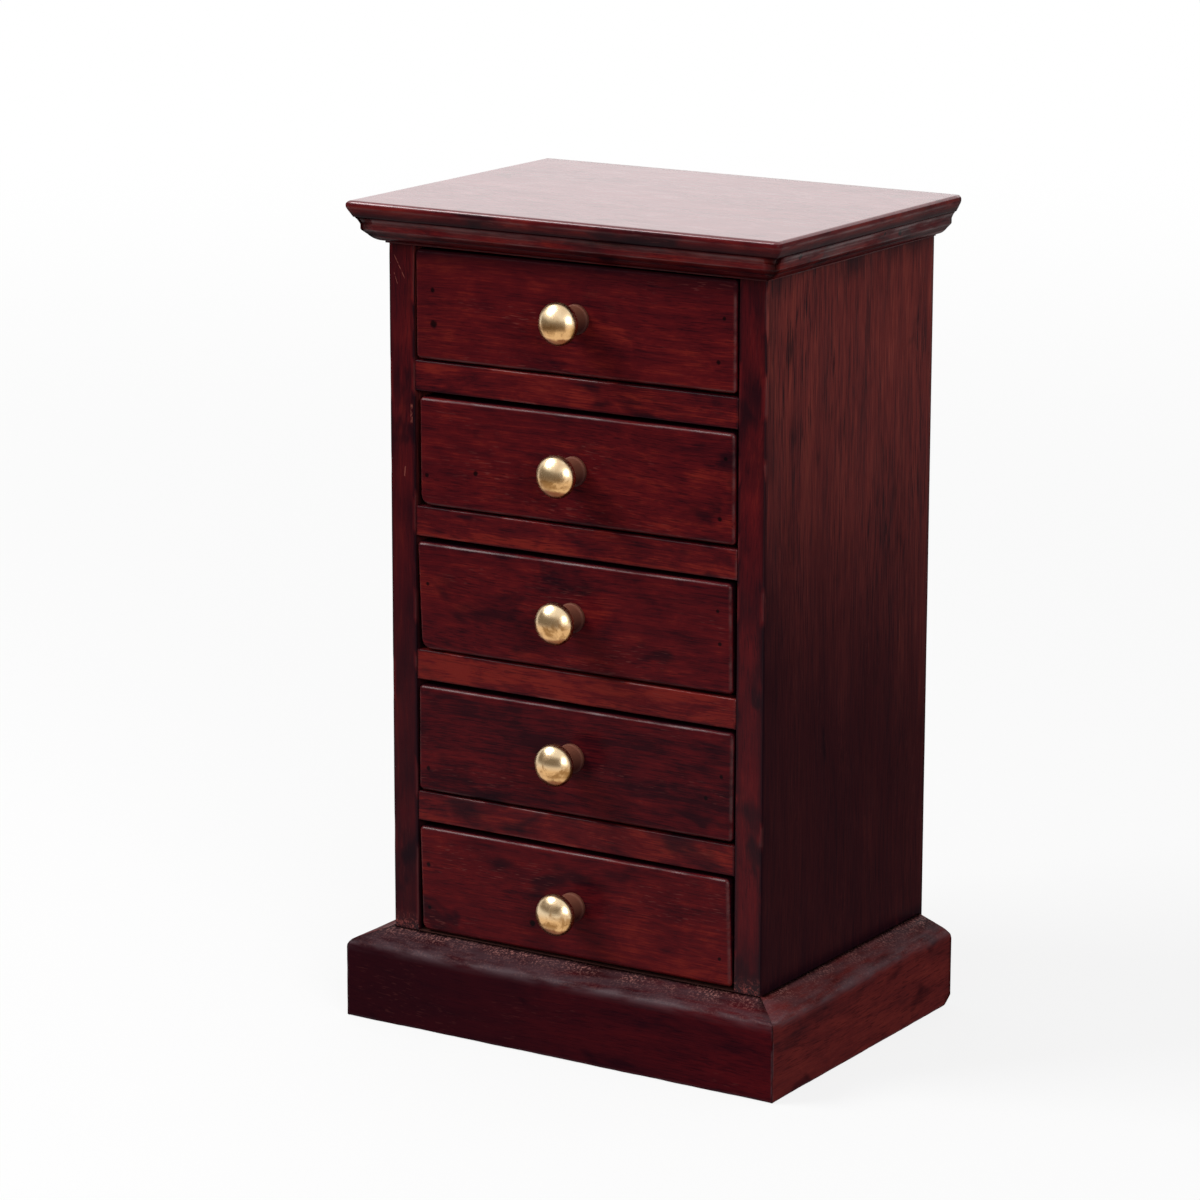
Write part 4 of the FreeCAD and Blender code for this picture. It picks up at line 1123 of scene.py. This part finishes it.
# %% Panel pins
PIN_RADIUS, SUNK, END_GAP = 0.6 * MM, 0.9 * MM, 0.2 * MM


def loose_parts(node):
    """The lowest and highest corner of each separate solid in a node."""
    bm = bmesh.new()
    bm.from_mesh(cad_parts[node].data)
    bmesh.ops.remove_doubles(bm, verts=bm.verts, dist=SAME_PLACE)
    left = set(bm.verts)
    while left:
        part, reached = set(), [left.pop()]
        while reached:
            vert = reached.pop()
            part.add(vert)
            for edge in vert.link_edges:
                other = edge.other_vert(vert)
                if other in left:
                    left.discard(other)
                    reached.append(other)
        yield [Vector([limit(vert.co[axis] for vert in part) for axis in range(3)])
               for limit in (min, max)]
    bm.free()


def pin_section(length):
    """Half a pin's outline as (radius, distance from the head): head, shank and point."""
    shank, head_foot, point = 0.7 * PIN_RADIUS, 0.5 * MM, length - 1.6 * MM
    return [(0, 0), (0.95 * PIN_RADIUS, 0), (0.8 * PIN_RADIUS, head_foot), (shank, head_foot),
            (shank, point), (0.1 * PIN_RADIUS, length), (0, length)]


def panel_pins(node, body, material):
    """A pin along the longest side of each solid, with its head on the chest's outside."""
    whole = bmesh.new()
    for low, high in loose_parts(node):
        size, middle = high - low, (low + high) / 2
        axis = max(range(3), key=lambda number: size[number])
        inward = (X, Y, Z)[axis] * (1 if middle[axis] < 0 else -1)
        turn = Z.rotation_difference(inward).to_matrix().to_4x4()
        head = middle - inward * (size[axis] / 2 - SUNK)
        others = set(whole.verts)
        outline = pin_section(size[axis] - SUNK - END_GAP)
        spin(whole, [whole.verts.new((radius, 0, along)) for radius, along in outline], Z, 10)
        pin = [vert for vert in whole.verts if vert not in others]
        bmesh.ops.transform(whole, matrix=Matrix.Translation(head) @ turn, verts=pin)
    settle(whole, node + "_drawn", material, node, body)


print("pins are %.1f mm thick and sunk %.1f mm" % (2 * PIN_RADIUS / MM, SUNK / MM))

# %% [markdown]
# Inside, the drawer boxes, the runners and the back are bare or stained boards. Their solids
# are already right, so they keep them and only take a finish.

# %% Bare wood, metal and filler


def bare_wood(name, grain, offset, stops):
    finish = Finish(name, specular_ior_level=0.2)
    point = finish.shifted(offset)
    figure = finish.cloud(point, along_grain(grain, 6, 48), 4, 0.55, 1.1)
    streak = finish.cloud(point, along_grain(grain, 22, 640), 3, 0.55)
    pore = finish.cloud(point, along_grain(grain, 160, 2200), 1).rise(0.62, 0.72)
    saw_marks = finish.cloud(point, 330, 2)
    colour = finish.ramp(figure * 0.6 + streak * 0.4, *stops)
    colour = finish.blend(colour, (0.10, 0.045, 0.022), pore * 0.6)
    finish.drive(base_color=colour, roughness=0.55 + streak * 0.2)
    finish.bump(streak * 0.4 + saw_marks * 0.4 - pore * 0.5, 0.15 * MM, 0.5)
    return finish.material


def metal(name, colour, worn_colour, roughness, metallic):
    finish = Finish(name, metallic=metallic)
    cloud = finish.cloud(finish.shifted(), 500, 3, 0.6)
    finish.drive(base_color=finish.blend(colour, worn_colour, cloud.rise(0.4, 0.65)),
                 roughness=roughness + cloud * 0.2)
    finish.bump(cloud, 0.03 * MM, 0.5)
    return finish.material


PALE_STOPS = (
    (0.36, (0.20, 0.095, 0.045)), (0.47, (0.33, 0.175, 0.088)),
    (0.55, (0.43, 0.245, 0.130)), (0.66, (0.52, 0.320, 0.180)),
)
DARK_STOPS = (
    (0.36, (0.030, 0.008, 0.007)), (0.47, (0.055, 0.015, 0.012)),
    (0.55, (0.080, 0.024, 0.017)), (0.66, (0.120, 0.040, 0.026)),
)
STEEL = metal("screw_steel", (0.50, 0.48, 0.45), (0.30, 0.27, 0.24), 0.28, 1.0)
FILLER = metal("stained_filler", (0.010, 0.004, 0.005), (0.020, 0.006, 0.006), 0.5, 0.0)
PALE, DARK = {}, {}
for grain in "xy":
    PALE[grain] = bare_wood("drawer_wood_" + grain, grain, (0.3, 0.1, 0.7), PALE_STOPS)
    DARK[grain] = bare_wood("inner_wood_" + grain, grain, (0.9, 0.2, 0.4), DARK_STOPS)
BACK = stained_wood("wood_back", "z", (0.6, 0.3, 0.8), BROWN_STOPS, tone=-0.04, contrast=0.9,
                    streaky=0.50, pores=(60, 1300, 0.8), dashes=0.15, gloss=0.03)
print("finishes for the inside:", STEEL.name, FILLER.name, *(wood.name for wood in PALE.values()))

# %% Finishes for the solids that stay
CARRIED = {"drawer_runners": DARK["y"], "bottom_board": DARK["x"], "case_top_board": DARK["x"],
           "back_panel": BACK, "runner_pins": FILLER, "back_panel_pins": FILLER}
BOX_PARTS = {"left_side": PALE["y"], "right_side": PALE["y"], "back": PALE["x"],
             "bottom": PALE["x"], "knob_screw": STEEL}
panel_pins("moulding_pins", "case", STEEL)
for number in DRAWERS:
    panel_pins("drawer_%d_pins" % number, "drawer_%d" % number, STEEL)
    CARRIED.update({"drawer_%d_%s" % (number, part): wood for part, wood in BOX_PARTS.items()})
for node, material in CARRIED.items():
    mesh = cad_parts[node].data
    mesh.materials.clear()
    mesh.materials.append(material)
print(len(CARRIED), "solids keep their shape and take a finish")

# %% [markdown]
# The stage: a pale floor without an edge, and soft light. The floor is a wide disc. Far away
# it is plain white, and near the chest part of it is ordinary matt paint that takes the shadow.
# Rays from the eye and from mirrors find a white background, and lamps stay at a plain level.

# %% Floor
FLOOR_RADIUS = 9.0
NEAR_SHARE, NEAR_END, FAR_START = 0.82, 0.15, 2.4


def seen_as_background(nodes):
    """1 for rays that should find a white background: from the eye, a mirror or a glass."""
    rays = [nodes.node("LightPath", output=name)
            for name in ("Is Camera Ray", "Is Glossy Ray", "Is Transmission Ray")]
    return rays[0].at_least(rays[1]).at_least(rays[2])


def floor_finish():
    finish = Finish("floor_paint", roughness=0.9, specular_ior_level=0.0,
                    base_color=(0.93, 0.93, 0.93, 1.0))
    distance = finish.node("VectorMath", {"operation": "LENGTH"}, {0: finish.place()},
                           output="Value")
    share = NEAR_SHARE + distance.rise(NEAR_END, FAR_START) * (1 - NEAR_SHARE)
    glow = finish.node("Emission", {}, {"Strength": seen_as_background(finish)})
    paint = Field(finish, finish.shader.outputs[0])
    mixed = finish.node("MixShader", {}, {0: share, 1: paint, 2: glow})
    finish.feed(finish.tree.nodes["Material Output"].inputs["Surface"], mixed)
    return finish.material


bm = bmesh.new()
bmesh.ops.create_circle(bm, cap_ends=True, segments=96, radius=FLOOR_RADIUS)
floor = put_in_scene(bm, "floor", floor_finish())
print("floor: %.0f m across" % (2 * FLOOR_RADIUS))

# %% World and lamps
WORLD_LEVEL = 0.42
MIDDLE = Vector((0, 0, 0.15))
LAMPS = {
    "key_light": ((-1.0, -0.75, 1.35), (0.8, 0.8), 19),
    "fill_light": ((1.5, -1.3, 0.9), (0.9, 0.9), 15),
    "rear_light": ((-1.5, 2.4, 0.75), (2.6, 1.0), 3),
}
world = bpy.data.worlds.new("white_studio")
bpy.context.scene.world = world
world.use_nodes = True
sky = Nodes(world.node_tree)
background = sky.tree.nodes["Background"]
background.inputs["Color"].default_value = (1, 1, 1, 1)
sky.feed(background.inputs["Strength"], seen_as_background(sky).at_least(WORLD_LEVEL))
for name, (place, size, watts) in LAMPS.items():
    lamp = bpy.data.lights.new(name, "AREA")
    lamp.shape = "RECTANGLE"
    lamp.size, lamp.size_y = size
    lamp.energy = watts
    holder = bpy.data.objects.new(name, lamp)
    holder.location = place
    holder.rotation_euler = (MIDDLE - Vector(place)).to_track_quat("-Z", "Y").to_euler()
    bpy.context.scene.collection.objects.link(holder)
bpy.context.scene.view_settings.view_transform = "Standard"
print(len(LAMPS), "lamps and a world at", WORLD_LEVEL)

# %% [markdown]
# Brass shows the room. On the camera's side a studio is dark at table height, so a curved
# card that glows dark stands there as a painted reflection. Only mirrors see it, and it takes
# no light from the chest.

# %% A glowing card, a painted reflection of the room's dark side
CARD_RADIUS, CARD_FOOT, CARD_HEIGHT = 0.42, 0.03, 0.36
CARD_TURNS = range(-80, 31, 5)
# The card glows with these colours, seen only in reflections
DARK_ROOM_REFLECTION, WHITE = (0.20, 0.165, 0.13), (1.0, 1.0, 1.0)


def card_finish():
    """It glows, though it is no lamp: dark in the middle of its height, and white towards both
    edges. A painted reflection.
    """
    finish = Finish("painted_reflection_card", roughness=1.0, specular_ior_level=0.0,
                    base_color=(0.0, 0.0, 0.0, 1.0), emission_strength=1.0)
    height = finish.axis(finish.place(), 2)
    away = (height - (CARD_FOOT + CARD_HEIGHT / 2)) / (CARD_HEIGHT / 2)
    finish.drive(emission_color=finish.blend(DARK_ROOM_REFLECTION, WHITE, (away * away).rise(0.2, 1.0)))
    return finish.material


bm = bmesh.new()
foot = [bm.verts.new((CARD_RADIUS * math.sin(turn), -CARD_RADIUS * math.cos(turn), CARD_FOOT))
        for turn in map(math.radians, CARD_TURNS)]
strip = [bm.edges.new(pair) for pair in zip(foot, foot[1:])]
raised = bmesh.ops.extrude_edge_only(bm, edges=strip)
lifted = of_kind(raised["geom"], bmesh.types.BMVert)
bmesh.ops.translate(bm, vec=Z * CARD_HEIGHT, verts=lifted)
card = put_in_scene(bm, "painted_reflection_card", card_finish())
card.visible_camera = card.visible_diffuse = card.visible_shadow = False
card.visible_transmission = card.visible_volume_scatter = False
print("card: %.2f m high, %.2f m from the chest's middle" % (CARD_HEIGHT, CARD_RADIUS))

# %% [markdown]
# The camera stands a little to the right and above, with a long lens. Its place comes from a
# fit of the chest's corners: turned and tilted about the chest's middle, then moved back,
# sideways and up.

# %% Camera
FOCAL, FRAME_WIDTH, SENSOR_WIDTH = 4582.4, 1200, 36
YAW, PITCH_DOWN, ROLL = (math.radians(angle) for angle in (32.21, 13.41, 0.086))
DISTANCE, SIDEWAYS, UPWARDS = 1.6810, -0.02232, 0.00314
level_back = math.cos(PITCH_DOWN)
backward = Vector((math.sin(YAW) * level_back, -math.cos(YAW) * level_back, math.sin(PITCH_DOWN)))
rightward = Vector((math.cos(YAW), math.sin(YAW), 0))
upward = backward.cross(rightward)
centre = Vector((0, (CASE_FRONT + CASE_BACK) / 2, CAD_BOX[1][2] / 2))
camera_place = centre + backward * DISTANCE + rightward * SIDEWAYS + upward * UPWARDS
turned_right = rightward * math.cos(ROLL) + upward * math.sin(ROLL)
turned_up = upward * math.cos(ROLL) - rightward * math.sin(ROLL)
camera_data = bpy.data.cameras.new("camera")
camera_data.sensor_width = SENSOR_WIDTH
camera_data.lens = FOCAL * SENSOR_WIDTH / FRAME_WIDTH
camera = bpy.data.objects.new("camera", camera_data)
turn = Matrix((turned_right, turned_up, backward)).transposed().to_4x4()
camera.matrix_world = Matrix.Translation(camera_place) @ turn
bpy.context.scene.collection.objects.link(camera)
bpy.context.scene.camera = camera
print("camera at", [round(value, 4) for value in camera_place], "lens %.1f mm" % camera_data.lens)
